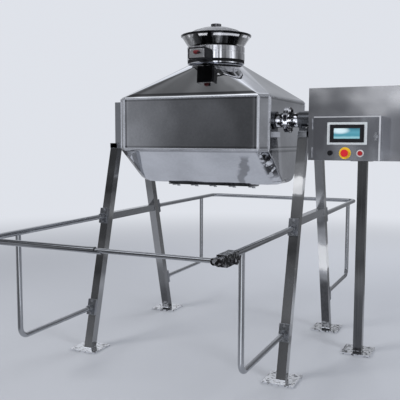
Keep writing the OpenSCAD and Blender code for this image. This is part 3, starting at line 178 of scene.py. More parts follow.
# what the cards leave of the backdrop's light at each compass angle, in degrees from +X, in
# layers that start at a height above level, in degrees, and the layer's own soft lower edge
LAYERS = [
    (-90, 0, [(-180, 0.40), (-150, 0.55), (-132, 0.50), (-122, 0.36), (-116, 0.12),
              (-110, 0.08), (-105, 0.24), (-99, 0.28), (-97.6, 1.10), (-96, 0.14), (-86, 0.70),
              (-80, 0.12), (-73, 2.00), (-63, 2.00),
              (-56, 0.20), (-48, 1.50), (-42, 0.14), (-30, 0.14), (-19, 0.36), (4, 1.40),
              (16, 0.50), (32, 0.08), (50, 0.14), (66, 0.30), (77, 0.33), (81, 0.12), (87, 0.45),
              (112, 0.90), (140, 0.50), (160, 0.20), (180, 0.40)]),
    (7, 3, [(-180, 0.30), (-145, 0.12), (-125, 0.12), (-112, 0.14), (-100, 0.26), (-80, 0.50),
            (-62, 0.60), (-40, 0.30), (-19, 0.26), (5, 0.50), (40, 0.30), (72, 0.35),
            (101, 0.52), (120, 0.75), (150, 0.40), (180, 0.30)]),
    (20, 3, [(-180, 0.16), (-145, 0.12), (-125, 0.15), (-113, 0.20), (-106, 0.60), (-98, 0.70),
             (-88, 0.30), (-30, 0.30), (0, 0.40), (60, 0.50), (95, 0.60), (115, 1.20),
             (140, 1.10), (152, 0.24), (180, 0.16)]),
    (27, 3, [(-180, 0.16), (-150, 0.20), (-136, 0.12), (-100, 0.10), (-30, 0.30), (0, 0.40),
             (60, 0.50), (95, 0.60), (115, 1.20), (140, 1.10), (152, 0.24), (180, 0.16)]),
    (34, 4, [(-180, 0.16), (-150, 0.20), (-138, 2.20), (-88, 2.20), (-70, 0.40), (-30, 0.30),
             (0, 0.40), (60, 0.50), (95, 0.60), (115, 1.20), (140, 1.10), (152, 0.24),
             (180, 0.16)]),
    (52, 5, [(-180, 0.30), (-60, 0.20), (20, 0.30), (58, 1.10), (112, 1.30), (134, 0.60),
             (146, 0.34), (166, 0.34), (180, 0.30)]),
]
# patches of uneven light on the cards: cells a unit of direction, and how far the light swings
PATCH_CELLS, PATCH_SWING = 9.0, 1.2


def mirrored_room(recipe, towards, rise):
    """Colour that steel mirrors along a direction, whose height above level is rise, as a sine."""
    angle = recipe.compass(towards)
    for height, soft, table in LAYERS:
        layer = recipe.tones(table, angle, -180, 180)
        if soft:
            low, high = (math.sin(math.radians(at)) for at in (height, height + soft))
            layer = recipe.mix(recipe.step(rise, low, high), tone, layer)
        tone = layer
    patches = recipe.node("TexNoise", None, {"Vector": towards, "Scale": PATCH_CELLS,
                                             "Detail": 2.0})
    tone = recipe.node("VectorMath", {"operation": "SCALE"},
                       {0: tone, "Scale": 1.0 + (patches - 0.5) * PATCH_SWING})
    return recipe.node("VectorMath", {"operation": "MULTIPLY"}, {0: tone, 1: BACKDROP[:3]})


def seen_by(recipe, plain, mirror, camera):
    """Picks a colour by the kind of ray: camera rays, rays off metal or through glass, others."""
    kind = {name: recipe.node("LightPath", out=f"Is {name} Ray")
            for name in ("Camera", "Glossy", "Transmission")}
    off_metal = recipe.mix(kind["Glossy"] + kind["Transmission"], plain, mirror)
    return recipe.mix(kind["Camera"], off_metal, camera)


world = bpy.data.worlds.new("studio_room")
bpy.context.scene.world = world
room = Recipe(world)
direction = room.node("TexCoord", out="Generated")
mirror = mirrored_room(room, direction, room.parts(direction)[2])
background = room.tree.nodes["Background"]
room.join(seen_by(room, SOFT_LIGHT, mirror, BACKDROP), background.inputs["Color"])
background.inputs["Strength"].default_value = 1.0

FLOOR_HALF = 60.0
# distances from the machine's middle between which the floor fades into the backdrop, as the
# camera sees it and as steel mirrors it
SEEN_FADE, MIRRORED_FADE = (3.0, 8.5), (1.5, 2.8)
floor_mesh = bpy.data.meshes.new("studio_floor")
floor_mesh.from_pydata([(x * FLOOR_HALF, y * FLOOR_HALF, 0)
                        for x, y in ((-1, -1), (1, -1), (1, 1), (-1, 1))], [], [(0, 1, 2, 3)])
floor = bpy.data.objects.new("studio_floor", floor_mesh)
bpy.context.scene.collection.objects.link(floor)
paint = bpy.data.materials.new("floor_paint")
tray = Recipe(paint)
place = tray.node("TexCoord", out="Object")
reach = tray.node("VectorMath", {"operation": "LENGTH"}, {0: place}, "Value")
seen, mirrored = tray.step(reach, *SEEN_FADE), tray.step(reach, *MIRRORED_FADE)
far = seen + tray.node("LightPath", out="Is Glossy Ray") * (mirrored - seen)
shade = tray.tree.nodes["Principled BSDF"]
for socket, value in {"Base Color": (0.46, 0.475, 0.51, 1), "Roughness": 0.6}.items():
    shade.inputs[socket].default_value = value
level_tone = mirrored_room(tray, tray.node("VectorMath", {"operation": "NORMALIZE"}, {0: place}),
                           rise=0.0)
glow = tray.node("Emission", None, {"Color": seen_by(tray, BACKDROP, level_tone, BACKDROP),
                                    "Strength": 1.0})
blend = tray.node("MixShader", None, {0: far, 1: Signal(tray, shade.outputs[0]), 2: glow})
tray.join(blend, tray.tree.nodes["Material Output"].inputs["Surface"])
floor_mesh.materials.append(paint)


def lamp(name, at, aim, width, tall, watts, tone):
    """A flat soft lamp at a point, turned to face another."""
    light = bpy.data.lights.new(name, "AREA")
    light.shape, light.size, light.size_y = "RECTANGLE", width, tall
    light.energy, light.color = watts, tone
    holder = bpy.data.objects.new(name, light)
    holder.location = at
    holder.rotation_euler = (Vector(aim) - Vector(at)).to_track_quat("-Z", "Y").to_euler()
    holder.visible_glossy = False
    bpy.context.scene.collection.objects.link(holder)


lamp("key_lamp", (-3.6, -4.6, 4.2), (0, 0, 1.2), 2.6, 2.0, 230, (1.0, 0.99, 0.97))
lamp("side_lamp", (5.2, -2.2, 3.0), (0.3, 0, 1.2), 1.6, 2.4, 120, (0.95, 0.97, 1.0))
lamp("back_lamp", (0.8, 5.0, 4.0), (0.2, 0, 1.3), 3.6, 1.8, 170, (0.97, 0.98, 1.0))

# the photo's camera, fitted to foot plates, legs, rails and vessel: where it stands in metres,
# its lens in millimetres, and how far it turns left, tilts down and rolls, in radians
EYE, LENS, SENSOR = (1.7832, -4.1542, 1.4603), 56.03, 36.0
YAW, PITCH, ROLL = 0.43, 0.095, 0.003
ahead = Vector((-math.sin(YAW) * math.cos(PITCH), math.cos(YAW) * math.cos(PITCH),
                -math.sin(PITCH)))
right = Vector((math.cos(YAW), math.sin(YAW), 0))
upward = right.cross(ahead)
right, upward = (right * math.cos(ROLL) + upward * math.sin(ROLL),
                 upward * math.cos(ROLL) - right * math.sin(ROLL))
optics = bpy.data.cameras.new("camera")
optics.sensor_fit, optics.sensor_width, optics.lens = "HORIZONTAL", SENSOR, LENS
optics.clip_start, optics.clip_end = 0.05, 200
camera = bpy.data.objects.new("camera", optics)
camera.matrix_world = Matrix.Translation(EYE) @ Matrix(
    (right, upward, -ahead)).transposed().to_4x4()
bpy.context.scene.collection.objects.link(camera)
bpy.context.scene.camera = camera
bpy.context.scene.view_settings.view_transform = "Standard"


# Legs: four leaning legs and one post of square stainless tube, welded to foot plates that are
# drilled for anchors. The tube is bought polished, so it mirrors softly along its length.

# depth in metres of the fine lines that polishing leaves, and how much less than the steel round
# it a band of painted highlight mirrors
LINE_DEPTH, LIT_MATT = 0.00002, 0.85


class Finish(Recipe):
    """A material: a Principled shader whose fixed sockets are set at once."""

    def __init__(self, name, **fixed):
        super().__init__(bpy.data.materials.new(name))
        self.shader = self.tree.nodes["Principled BSDF"]
        self.place = self.node("TexCoord", out="Object")
        for socket, value in fixed.items():
            self.set(socket.replace("_", " ").title().replace("Ior", "IOR"), value)

    def set(self, socket, value):
        self.join(value, self.shader.inputs[socket])

    def grain(self, scale, stretch=(1, 1, 1), detail=3.0, rough=0.55):
        """Noise from 0 to 1: scale is in cells a metre, stretch multiplies it along each axis."""
        spread = self.node("Mapping", None, {"Vector": self.place, "Scale": stretch})
        return self.node("TexNoise", None, {"Vector": spread, "Scale": scale, "Detail": detail,
                                            "Roughness": rough})

    def relief(self, height, depth=1.0):
        """Bump from a height in metres, or from a height of 0 to 1 and its depth in metres."""
        self.set("Normal", self.node("Bump", None, {"Strength": 1.0, "Distance": depth,
                                                    "Height": height}))

    def ripple(self, lines, cells, depth):
        """Bump of polished sheet: its polishing lines over a slow ripple of a depth in metres."""
        self.relief(lines * LINE_DEPTH + self.grain(cells, detail=1.0) * depth)

    def worn(self, smear, lines, dull, bright):
        """Colour of steel: dull where its smears and polishing lines are low, else bright."""
        return self.mix(self.step(smear * 0.6 + lines * 0.4, 0.35, 0.66), (*dull, 1), (*bright, 1))


def steel(name, tone, smooth, along, streak, drift, wave=0.0, wave_scale=3.0):
    """Stainless steel. tone is its base colour, smooth its mean roughness, along the stretch of
    its polishing lines; streak and drift are how much the lines and slow smears change the
    roughness, and wave is the depth in metres of the sheet's slow ripple."""
    metal = Finish(name, metallic=1.0)
    lines = metal.grain(1.0, along, 4.0)
    smear = metal.grain(5.5, detail=4.0)
    metal.set("Roughness", smooth + (lines - 0.5) * streak * 2 + (smear - 0.5) * drift * 2)
    metal.set("Base Color", metal.worn(smear, lines, [0.88 * part for part in tone], tone))
    if wave:
        metal.ripple(lines, wave_scale, wave)
    else:
        metal.relief(lines * LINE_DEPTH)
    return metal.owner


# an edge is sharp from this angle on, in degrees; corners of CAD faces and of drawn skins become
# one within these distances in metres, and faces become one within this angle in degrees
SHARP, CAD_GAP, SKIN_GAP, FLAT = 32, 2e-6, 1e-6, 0.5


def dressed(names, metal, edge, bevels=2, sharp=SHARP):
    """Copies of CAD nodes with a finish, their convex edges rounded by edge metres; an inner
    edge stays as it is. Each copy stands for its node and rides on the node's body."""
    for name in [names] if isinstance(names, str) else names:
        node = frame["nodes"][name]
        mesh = bpy.data.meshes.new(name + "_metal")
        work = bmesh.new()
        work.from_mesh(node.data)
        bmesh.ops.remove_doubles(work, verts=work.verts, dist=CAD_GAP)
        bmesh.ops.dissolve_limit(work, angle_limit=math.radians(FLAT), verts=work.verts,
                                 edges=work.edges)
        weight = work.edges.layers.float.new("bevel_weight_edge")
        for line in work.edges:
            line[weight] = line.is_convex and line.calc_face_angle(0.0) > math.radians(sharp)
        work.to_mesh(mesh)
        work.free()
        for spare in [a for a in mesh.attributes if a.name.startswith("custom_normal")]:
            mesh.attributes.remove(spare)
        piece = finish_piece(mesh, name + "_piece", metal, node["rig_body"], [name], sharp)
        rounding = piece.modifiers.new("rounding", "BEVEL")
        rounding.width, rounding.segments = edge, bevels
        rounding.limit_method, rounding.harden_normals = "WEIGHT", True


def finish_piece(mesh, name, metal, body, stands_for, sharp):
    """Gives a mesh its shading, finish, body and slot, and returns its object."""
    mesh.polygons.foreach_set("use_smooth", np.ones(len(mesh.polygons), bool))
    mesh.set_sharp_from_angle(angle=math.radians(sharp))
    mesh.materials.clear()
    mesh.materials.append(metal)
    piece = bpy.data.objects.new(name, mesh)
    bpy.context.scene.collection.objects.link(piece)
    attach(piece, body)
    if stands_for:
        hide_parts(*stands_for)
    return piece


LEG_TOP, PLATE_TOP = 1.60, 0.012
# painted reflections and highlights: tone of each leg's polished face at heights in metres
LEG_REFLECTION_TONES = {
    "drive_front_leg": [(0.00, 0.42), (0.30, 0.40), (0.40, 0.66), (0.55, 0.55), (0.68, 0.42),
                        (0.76, 0.15), (0.86, 0.22), (1.00, 0.25), (1.09, 0.30), (1.15, 0.92),
                        (1.24, 0.96), (1.28, 0.60), (1.34, 0.30), (1.60, 0.20)],
    "idle_front_leg": [(0.00, 0.42), (0.30, 0.38), (0.42, 0.50), (0.50, 0.22), (0.62, 0.30),
                       (0.69, 0.62), (0.78, 0.36), (0.88, 0.36), (0.96, 0.80), (1.04, 0.46),
                       (1.12, 0.22), (1.23, 0.34), (1.32, 0.22), (1.60, 0.36)],
    "drive_rear_leg": [(0.00, 0.08), (0.36, 0.05), (0.43, 0.45), (0.52, 1.00), (0.66, 1.00),
                       (0.79, 0.45), (0.87, 0.15), (0.95, 0.50), (1.04, 0.85), (1.11, 0.22),
                       (1.30, 0.24), (1.60, 0.22)],
    "idle_rear_leg": [(0.00, 0.14), (0.16, 0.10), (0.30, 0.20), (0.50, 0.42), (0.90, 0.36),
                      (1.10, 0.26), (1.22, 0.55), (1.60, 0.55)],
    "drive_post": [(0.00, 0.09), (0.50, 0.06), (0.90, 0.10), (1.20, 0.07), (1.60, 0.10)],
}
for name, table in LEG_REFLECTION_TONES.items():
    tube = Finish(name + "_steel", metallic=1.0)
    height = tube.parts(tube.place)[2]
    lines = tube.grain(1.0, (160, 160, 2.5), 4.0)
    slow = tube.grain(7.0, detail=2.0)
    face = tube.tones(table, height + (slow - 0.5) * 0.16, 0, LEG_TOP)
    # the brightest bands are painted highlights, which mirror less than the steel round them
    lit = tube.step(face, 0.80, 1.0)
    tube.set("Metallic", 1 - lit * LIT_MATT)
    face = tube.mix(lines * 0.4 * (1 - lit), face, (0.40, 0.405, 0.42, 1))
    # foot plates are paler, and blotted
    plate = tube.fall(height, PLATE_TOP, PLATE_TOP + 0.004)
    blots = tube.step(tube.grain(60.0, detail=1.0), 0.36, 0.46)
    tube.set("Base Color", tube.mix(plate * blots, face, (0.92, 0.93, 0.95, 1)))
    tube.set("Roughness", 0.15 + (lines - 0.5) * 0.12)
    tube.ripple(lines, 4.0, 0.0012)
    dressed(name, tube.owner, 0.0035)
beam_steel = steel("beam_steel", (0.52, 0.53, 0.55), 0.20, (160, 3, 160), 0.06, 0.05)
dressed("cross_members", beam_steel, 0.0035)


# Guard rails: four bent U hoops of round tube, held to the legs by bolted cast clamps, a fixed
# front bar, a boom that swings on a pin in a cast block, with its switch, and a rear bar.

rail_steel = steel("rail_steel", (0.44, 0.45, 0.47), 0.10, (40, 40, 40), 0.04, 0.07)
dressed(["idle_front_hoop", "idle_rear_hoop", "drive_front_hoop", "drive_rear_hoop", "rear_bar",
         "front_fixed_bar", "gate_boom"], rail_steel, 0.0015, sharp=40)
cast_steel = steel("cast_steel", (0.33, 0.34, 0.36), 0.30, (90, 90, 90), 0.12, 0.08)
dressed("rail_clamps", cast_steel, 0.003)


def spotted(name, dark, light, share, cells, smooth, depth):
    """Cast or turned metal between a dark and a light tone, in spots of so many cells a metre
    along each axis; share moves the balance towards the light tone, depth is the relief. On
    polished turned parts the spots are painted reflections."""
    metal = Finish(name, metallic=1.0)
    blots = metal.grain(1.0, cells, 3.0, 0.6)
    pick = metal.step(blots, 0.60 - share, 0.70 - share)
    metal.set("Base Color", metal.mix(pick, (dark, dark, dark * 1.04, 1),
                                      (light, light, light * 1.03, 1)))
    metal.set("Roughness", smooth + blots * 0.05)
    metal.relief(blots, depth)
    return metal.owner


dressed("gate_block", spotted("block_casting", 0.03, 0.50, 0.10, (60, 60, 60), 0.22, 0.0015),
        0.003)
bolt_steel = steel("bolt_steel", (0.62, 0.63, 0.66), 0.28, (300, 300, 300), 0.1, 0.05)
dressed(["rail_clamp_bolts", "gate_pin", "hinge_pins"], bolt_steel, 0.001)


# depth in metres of the fine pits that a mould leaves
PIT_DEPTH = 0.00005


def plastic(name, tone, rough, coat=0.0, shine=0.35):
    """Moulded plastic or rubber: one colour with a faint drift, and a fine moulded skin."""
    stuff = Finish(name, roughness=rough, coat_weight=coat, specular_ior_level=shine)
    drift = stuff.grain(22.0, detail=3.0)
    pale = tuple(min(1.0, 1.12 * part + 0.004) for part in tone)
    stuff.set("Base Color", stuff.mix(drift, tuple(tone) + (1,), pale + (1,)))
    stuff.relief(stuff.grain(900.0, detail=1.0), PIT_DEPTH)
    return stuff.owner


black_plastic = plastic("black_plastic", (0.010, 0.010, 0.012), 0.42, shine=0.16)
dressed("gate_switch", black_plastic, 0.002)


# Vessel: four to five millimetre stainless sheet, pressed and welded into a band with cut
# corners, a wedge below and a hood above that runs up to a round neck, all ground and
# polished to a mirror.

def grid_faces(rows, columns, wrap_rows):
    """Four-cornered faces between neighbours of a grid of points, whose rows are closed rings."""
    i = np.arange(rows if wrap_rows else rows - 1)[:, None]
    j = np.arange(columns)[None, :]
    down, across = (i + 1) % rows, (j + 1) % columns
    faces = [i * columns + j, i * columns + across, down * columns + across, down * columns + j]
    return np.stack(np.broadcast_arrays(*faces), -1).reshape(-1, 4)


def skin(points, wrap_rows=False, capped=True):
    """(points, faces) of a grid surface (rows, columns, 3), its ends closed by flat caps and its
    faces turned outwards by the sign of the volume they enclose."""
    rows, columns = points.shape[:2]
    spots = points.reshape(-1, 3)
    faces = grid_faces(rows, columns, wrap_rows).tolist()
    if capped and not wrap_rows:
        faces.append(list(range(columns))[::-1])
        faces.append(list(range((rows - 1) * columns, rows * columns)))
    fan = np.array([(f[0], f[k], f[k + 1]) for f in faces for k in range(1, len(f) - 1)])
    a, b, c = (spots[fan[:, k]] for k in range(3))
    if np.einsum("ij,ij->i", a, np.cross(b, c)).sum() < 0:
        faces = [f[::-1] for f in faces]
    return spots, faces


def piece_of(name, skins, metal, body, stands_for=(), sharp=SHARP, wall=0.0):
    """One piece from several closed skins. wall gives an open skin its thickness, inwards."""
    mesh = bpy.data.meshes.new(name)
    start, spots, faces = 0, [], []
    for points, polygons in skins:
        spots.append(points)
        faces += [[corner + start for corner in polygon] for polygon in polygons]
        start += len(points)
    mesh.from_pydata(np.concatenate(spots).tolist(), [], faces)
    work = bmesh.new()
    work.from_mesh(mesh)
    bmesh.ops.remove_doubles(work, verts=work.verts, dist=SKIN_GAP)
    work.to_mesh(mesh)
    work.free()
    piece = finish_piece(mesh, name, metal, body, stands_for, sharp)
    if wall:
        thickness = piece.modifiers.new("wall", "SOLIDIFY")
        thickness.thickness, thickness.offset = wall, -1.0
        thickness.use_even_offset = True
    return piece


def rounded(line, radii, steps):
    """Rows of points along lines (rows, columns, 3) whose inner corners become arcs: corner B
    between A and C turns into a rational curve with weight sin(half the angle ABC), which is
    an exact arc of the asked radius, or smaller where a side is short."""
    rows = [line[0]]
    t = np.linspace(0, 1, steps + 1)[:, None, None]
    for k, radius in zip(range(1, len(line) - 1), radii):
        before, corner, after = line[k - 1], line[k], line[k + 1]
        to_a, to_c = before - corner, after - corner
        long_a = np.linalg.norm(to_a, axis=1, keepdims=True)
        long_c = np.linalg.norm(to_c, axis=1, keepdims=True)
        to_a, to_c = to_a / np.maximum(long_a, 1e-9), to_c / np.maximum(long_c, 1e-9)
        cosine = np.clip((to_a * to_c).sum(1, keepdims=True), -0.9999, 0.9999)
        half = np.arccos(cosine) / 2
        reach = np.minimum(radius / np.tan(half), 0.48 * np.minimum(long_a, long_c))
        weight = np.sin(half)
        first, last = corner + to_a * reach, corner + to_c * reach
        arc = ((1 - t) ** 2 * first + 2 * weight * t * (1 - t) * corner + t ** 2 * last) / (
            (1 - t) ** 2 + 2 * weight * t * (1 - t) + t ** 2)
        rows.extend(arc)
    rows.append(line[-1])
    return np.array(rows)


def between(rows, longest):
    """The same rows with more between them, so that none is further than longest from the
    next: each gap is cut into equal shares."""
    full = [rows[0]]
    for low, high in zip(rows[:-1], rows[1:]):
        count = max(1, math.ceil(np.linalg.norm(high - low, axis=1).max() / longest))
        full += [low + (high - low) * k / count for k in range(1, count + 1)]
    return np.array(full)


shell_low, shell_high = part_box("vessel_shell")
BAND_X, BAND_Y = shell_high.x, shell_high.y
BAND_LOW, BAND_HIGH, BASE, NECK, COLLAR = 1.396, 1.750, shell_low.z, 1.996, shell_high.z
# the band's cut corners, how far front and back lean in below it, the bend of its upright edges,
# and the half width and half depth of the hatch at the foot
CUT, DRAFT, SIDE_BEND, HATCH = 0.055, 0.324, 0.014, [0.282, 0.098]
# radii of the hood's end, of the collar and of its bore, of the bends at the wedge's foot and at
# both edges of the band, and how far apart rows of points lie at most
HOOD_END, COLLAR_OUT, COLLAR_IN = 0.190, 0.201, 0.152
BENDS, ROW_GAP = [0.060, 0.024, 0.024], 0.045
# radius of the weld beads round the band, and how far inside its edges they run
BEAD, BEAD_IN = 0.0045, 0.010
# steps along a long side, along a cut corner and round a bend
LONG_STEPS, SHORT_STEPS, TURN_STEPS = 26, 6, 5


def outline(half_x, half_y, cut, bend):
    """Eight corner centres of a rectangle with cut corners, inset so that an arc of radius bend
    about each touches both its sides, listed anticlockwise from the side that faces +X."""
    inset = bend * math.tan(math.pi / 8)
    x, y = half_x - bend, half_y - bend
    near_x, near_y = half_x - cut - inset, half_y - cut - inset
    return np.array([(x, near_y), (near_x, y), (-near_x, y), (-x, near_y), (-x, -near_y),
                     (-near_x, -y), (near_x, -y), (x, -near_y)])


def columns_round(corners, bend):
    """Points round an outline of corner centres: each corner's arc, whose angle runs between the
    directions that its two sides face, then the straight side to the next corner."""
    faced = np.radians(np.arange(0, 361, 45))
    spots = []
    for k in range(8):
        angle = np.linspace(faced[k], faced[k + 1], TURN_STEPS + 1)
        ray_out = np.stack([np.cos(angle), np.sin(angle)], 1) * bend
        spots.append(corners[k] + ray_out)
        steps = LONG_STEPS if k % 2 else SHORT_STEPS
        share = np.linspace(0, 1, steps + 1)[1:-1, None]
        to_next = corners[(k + 1) % 8] - corners[k]
        spots.append(corners[k] + to_next * share + ray_out[-1])
    return np.concatenate(spots)


def level(corners, bend, z):
    """An outline's points as a row at height z."""
    flat = columns_round(corners, bend)
    return np.column_stack([flat, np.full(len(flat), z)])


band = outline(BAND_X, BAND_Y, CUT, SIDE_BEND)
foot = band - np.sign(band) * [0, DRAFT]
hatch = np.sign(band) * HATCH
centre = np.zeros((8, 2))
profile = np.array([level(hatch, 0, BASE), level(foot, SIDE_BEND, BASE),
                    level(band, SIDE_BEND, BAND_LOW), level(band, SIDE_BEND, BAND_HIGH),
                    level(centre, HOOD_END, NECK)])
body_rows = between(rounded(profile, BENDS, steps=9), ROW_GAP)
collar_rows = np.array([level(centre, COLLAR_OUT, NECK), level(centre, COLLAR_OUT, COLLAR),
                        level(centre, COLLAR_IN, COLLAR)])
shell_points = np.concatenate([body_rows, collar_rows])
shell_steel = Finish("shell_steel", metallic=1.0)
# painted reflection: tone of the hood's flat front from its left edge (-1) to its right edge (1)
HOOD_REFLECTION_TONES = [(-1.0, 0.70), (-0.96, 0.55), (-0.90, 0.30), (-0.72, 0.62), (-0.50, 0.46),
              (-0.20, 0.40), (0.10, 0.54), (0.35, 0.44), (0.62, 0.62), (0.80, 0.92), (1.0, 0.98)]
# a dark diagonal band across the lower front: a point on it, how far it leans and its half width
STRIPE_X, STRIPE_Z, STRIPE_LEAN, STRIPE_HALF = 0.330, 1.28, 0.60, 0.045
east, north, height = shell_steel.parts(shell_steel.place)
east_reach, north_reach = abs(east), abs(north)
side_half, front_half = band[0][1], band[1][0]
smears = shell_steel.grain(5.5, detail=4.0)
fine = shell_steel.grain(1.0, (60, 60, 60), 4.0)
# how far down the hood, 0 at the neck and 1 at the band, and how far across its flat front and
# back, where it takes the painted reflection tones of the table
down = (NECK - height) / (NECK - BAND_HIGH)
across = east / (down * front_half + 0.004)
on_hood = shell_steel.step(height, BAND_HIGH - 0.004, BAND_HIGH + 0.002) * shell_steel.fall(
    height, NECK - 0.004, NECK) * shell_steel.fall(abs(across), 0.985, 1.02)
tone = shell_steel.mix(on_hood,
                       shell_steel.worn(smears, fine, (0.70, 0.71, 0.74), (0.80, 0.81, 0.845)),
                       shell_steel.tones(HOOD_REFLECTION_TONES, across + (smears - 0.5) * 0.30, -1, 1))
# darker: a painted shade along the hood's foot, dark lines beside the band's upright beads and
# along its edges, and painted dark reflection streaks down the cut corners of the wedge
hood_foot_shade = shell_steel.within(height, BAND_HIGH + 0.004, BAND_HIGH + 0.026) * on_hood
# dark lines painted beside the upright beads and along the band's edges
bead_side_lines = shell_steel.within(height, BAND_LOW + BEAD_IN, BAND_HIGH - BEAD_IN, 0.004) * (
    shell_steel.within(east_reach, front_half - 0.020, front_half - 0.006)
    + shell_steel.within(north_reach, side_half - 0.020, side_half - 0.006))
edge_lines = (shell_steel.within(height, BAND_LOW - 0.014, BAND_LOW + 0.004)
         + shell_steel.within(height, BAND_LOW + 0.014, BAND_LOW + 0.030)
         + shell_steel.within(height, BAND_HIGH - 0.028, BAND_HIGH - 0.015))
cut_corner = shell_steel.step(east_reach, front_half - 0.02, front_half + 0.01) * (
    shell_steel.fall(east_reach, BAND_X - 0.006, BAND_X - 0.001))
on_wedge = shell_steel.step(height, BASE + 0.02, BASE + 0.10) * (
    shell_steel.fall(height, BAND_LOW - 0.012, BAND_LOW - 0.002))
# painted reflections: dark streaks down the wedge's cut corners
painted_streaks = cut_corner * on_wedge * shell_steel.step(
    shell_steel.grain(1.0, (26, 26, 3), 2.0), 0.44, 0.52)
run = east - (height - STRIPE_Z) * STRIPE_LEAN - STRIPE_X + (smears - 0.5) * 0.16
smear = shell_steel.within(run, -STRIPE_HALF, STRIPE_HALF) * (
    shell_steel.fall(height, BAND_LOW - 0.06, BAND_LOW - 0.02)) * (
    shell_steel.fall(north, -0.05, 0.0))
dark = hood_foot_shade * 0.75 + bead_side_lines * 0.55 + edge_lines * 0.38 + painted_streaks * 0.93 + smear * 0.50
shell_steel.set("Base Color", shell_steel.mix(dark.clamped(), tone, (0.035, 0.036, 0.04, 1)))
shell_steel.set("Roughness", 0.045 + (fine - 0.5) * 0.024 + (smears - 0.5) * 0.06)
shell_steel.ripple(fine, 2.6, 0.0030)
piece_of("vessel_skin", [skin(shell_points, capped=False)], shell_steel.owner, "vessel",
         ["vessel_shell"], sharp=24, wall=0.004)


def bar_along(path, radius, up=(0, 0, 1), sides=12, closed=False):
    """Round bar: a circle of one radius about each point of a path, square to the direction from
    the point before to the point after."""
    path = np.asarray(path, float)
    ahead = np.roll(path, -1, 0) - np.roll(path, 1, 0) if closed else np.gradient(path, axis=0)
    ahead /= np.linalg.norm(ahead, axis=1, keepdims=True)
    across = np.cross(np.broadcast_to(up, ahead.shape), ahead)
    across /= np.linalg.norm(across, axis=1, keepdims=True)
    lift = np.cross(ahead, across)
    angle = np.linspace(0, 2 * math.pi, sides, endpoint=False)[None, :, None]
    ring = across[:, None] * np.cos(angle) + lift[:, None] * np.sin(angle)
    return skin(path[:, None] + radius * ring, wrap_rows=closed)


mirror_steel = steel("mirror_steel", (0.80, 0.81, 0.845), 0.045, (60, 60, 60), 0.012, 0.03,
                     0.0030, 2.6)
level_beads = [bar_along(level(band, SIDE_BEND, z), BEAD, closed=True)
               for z in (BAND_LOW + BEAD_IN, BAND_HIGH - BEAD_IN)]
eighth = math.pi / 4
upright_beads = []
for number, corner in enumerate(band):
    for faced in (number * eighth, (number + 1) * eighth):
        spot = corner + SIDE_BEND * np.array([math.cos(faced), math.sin(faced)])
        ends = [(spot[0], spot[1], BAND_LOW + 0.012), (spot[0], spot[1], BAND_HIGH - 0.012)]
        upright_beads.append(bar_along(np.linspace(*ends, 5), BEAD, up=(1, 0, 0)))
piece_of("vessel_beads", level_beads + upright_beads, mirror_steel, "vessel",
         sharp=60)

hatch_steel = steel("hatch_steel", (0.16, 0.165, 0.175), 0.20, (60, 60, 60), 0.04, 0.04)
dressed(["manhole_frame", "manhole_door"], hatch_steel, 0.002)
dressed(["clamp_yokes", "clamp_screws"], bolt_steel, 0.0015)
black_rubber = plastic("black_rubber", (0.008, 0.008, 0.009), 0.6, shine=0.1)
dressed(["manhole_gasket", "neck_gasket"], black_rubber, 0.0015)
white_rubber = plastic("white_rubber", (0.70, 0.70, 0.68), 0.5)
dressed("valve_seat", white_rubber, 0.001)


# Neck: two turned rings with the butterfly valve between them, its black actuator with a
# light front cover and a red position window, then the spun charging cone and its domed lid.

# the rings' light and dark spots are painted reflections
ring_steel = spotted("ring_steel", 0.45, 0.99, 0.22, (34, 34, 6), 0.04, 0.0)
dressed(["valve_ring_lower", "valve_ring_upper", "valve_disc"], ring_steel, 0.002, bevels=3)
# painted reflections: tone of the cone's polished sheet at compass angles in degrees, in bands
CONE_REFLECTION_TONES = [(-180, 0.90), (-138, 0.95), (-118, 0.75), (-108, 0.08), (-92, 0.03),
              (-84, 0.12), (-74, 0.05), (-60, 0.12), (-48, 0.09), (-42, 0.03), (-24, 0.06),
              (-18, 0.95), (10, 1.00), (40, 0.90), (80, 0.06), (96, 0.22), (130, 0.10),
              (150, 0.70), (180, 0.90)]
cone_steel = Finish("cone_steel", metallic=1.0)
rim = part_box("charge_cone")[1].z
height = cone_steel.parts(cone_steel.place)[2]
fine = cone_steel.grain(1.0, (110, 110, 5), 3.0)
# the table's bands waver by 12.6 degrees with the polishing lines
sheet = cone_steel.tones(CONE_REFLECTION_TONES, cone_steel.compass(cone_steel.place) + (fine - 0.5) * 12.6,
                         -180, 180)
sheet = cone_steel.mix(cone_steel.step(fine, 0.45, 0.75) * 0.6, sheet, (0.20, 0.205, 0.21, 1))
# a broken painted highlight under a painted shade along the rim
sheet = cone_steel.mix(cone_steel.step(height, rim - 0.012, rim - 0.008), sheet,
                       (0.03, 0.03, 0.032, 1))
glint = cone_steel.within(height, rim - 0.030, rim - 0.010, 0.006) * cone_steel.step(
    cone_steel.grain(1.0, (14, 14, 0.1), 1.0), 0.50, 0.56)
cone_steel.set("Base Color", cone_steel.mix(glint, sheet, (0.90, 0.90, 0.92, 1)))
cone_steel.set("Metallic", 1 - glint * LIT_MATT)
cone_steel.set("Roughness", 0.10 + fine * 0.08)
cone_steel.relief(fine, 0.00012)
dressed("charge_cone", cone_steel.owner, 0.0012)
dressed("cone_lid", spotted("lid_steel", 0.20, 0.36, 0.10, (9, 9, 60), 0.2, 0.0001), 0.0012)


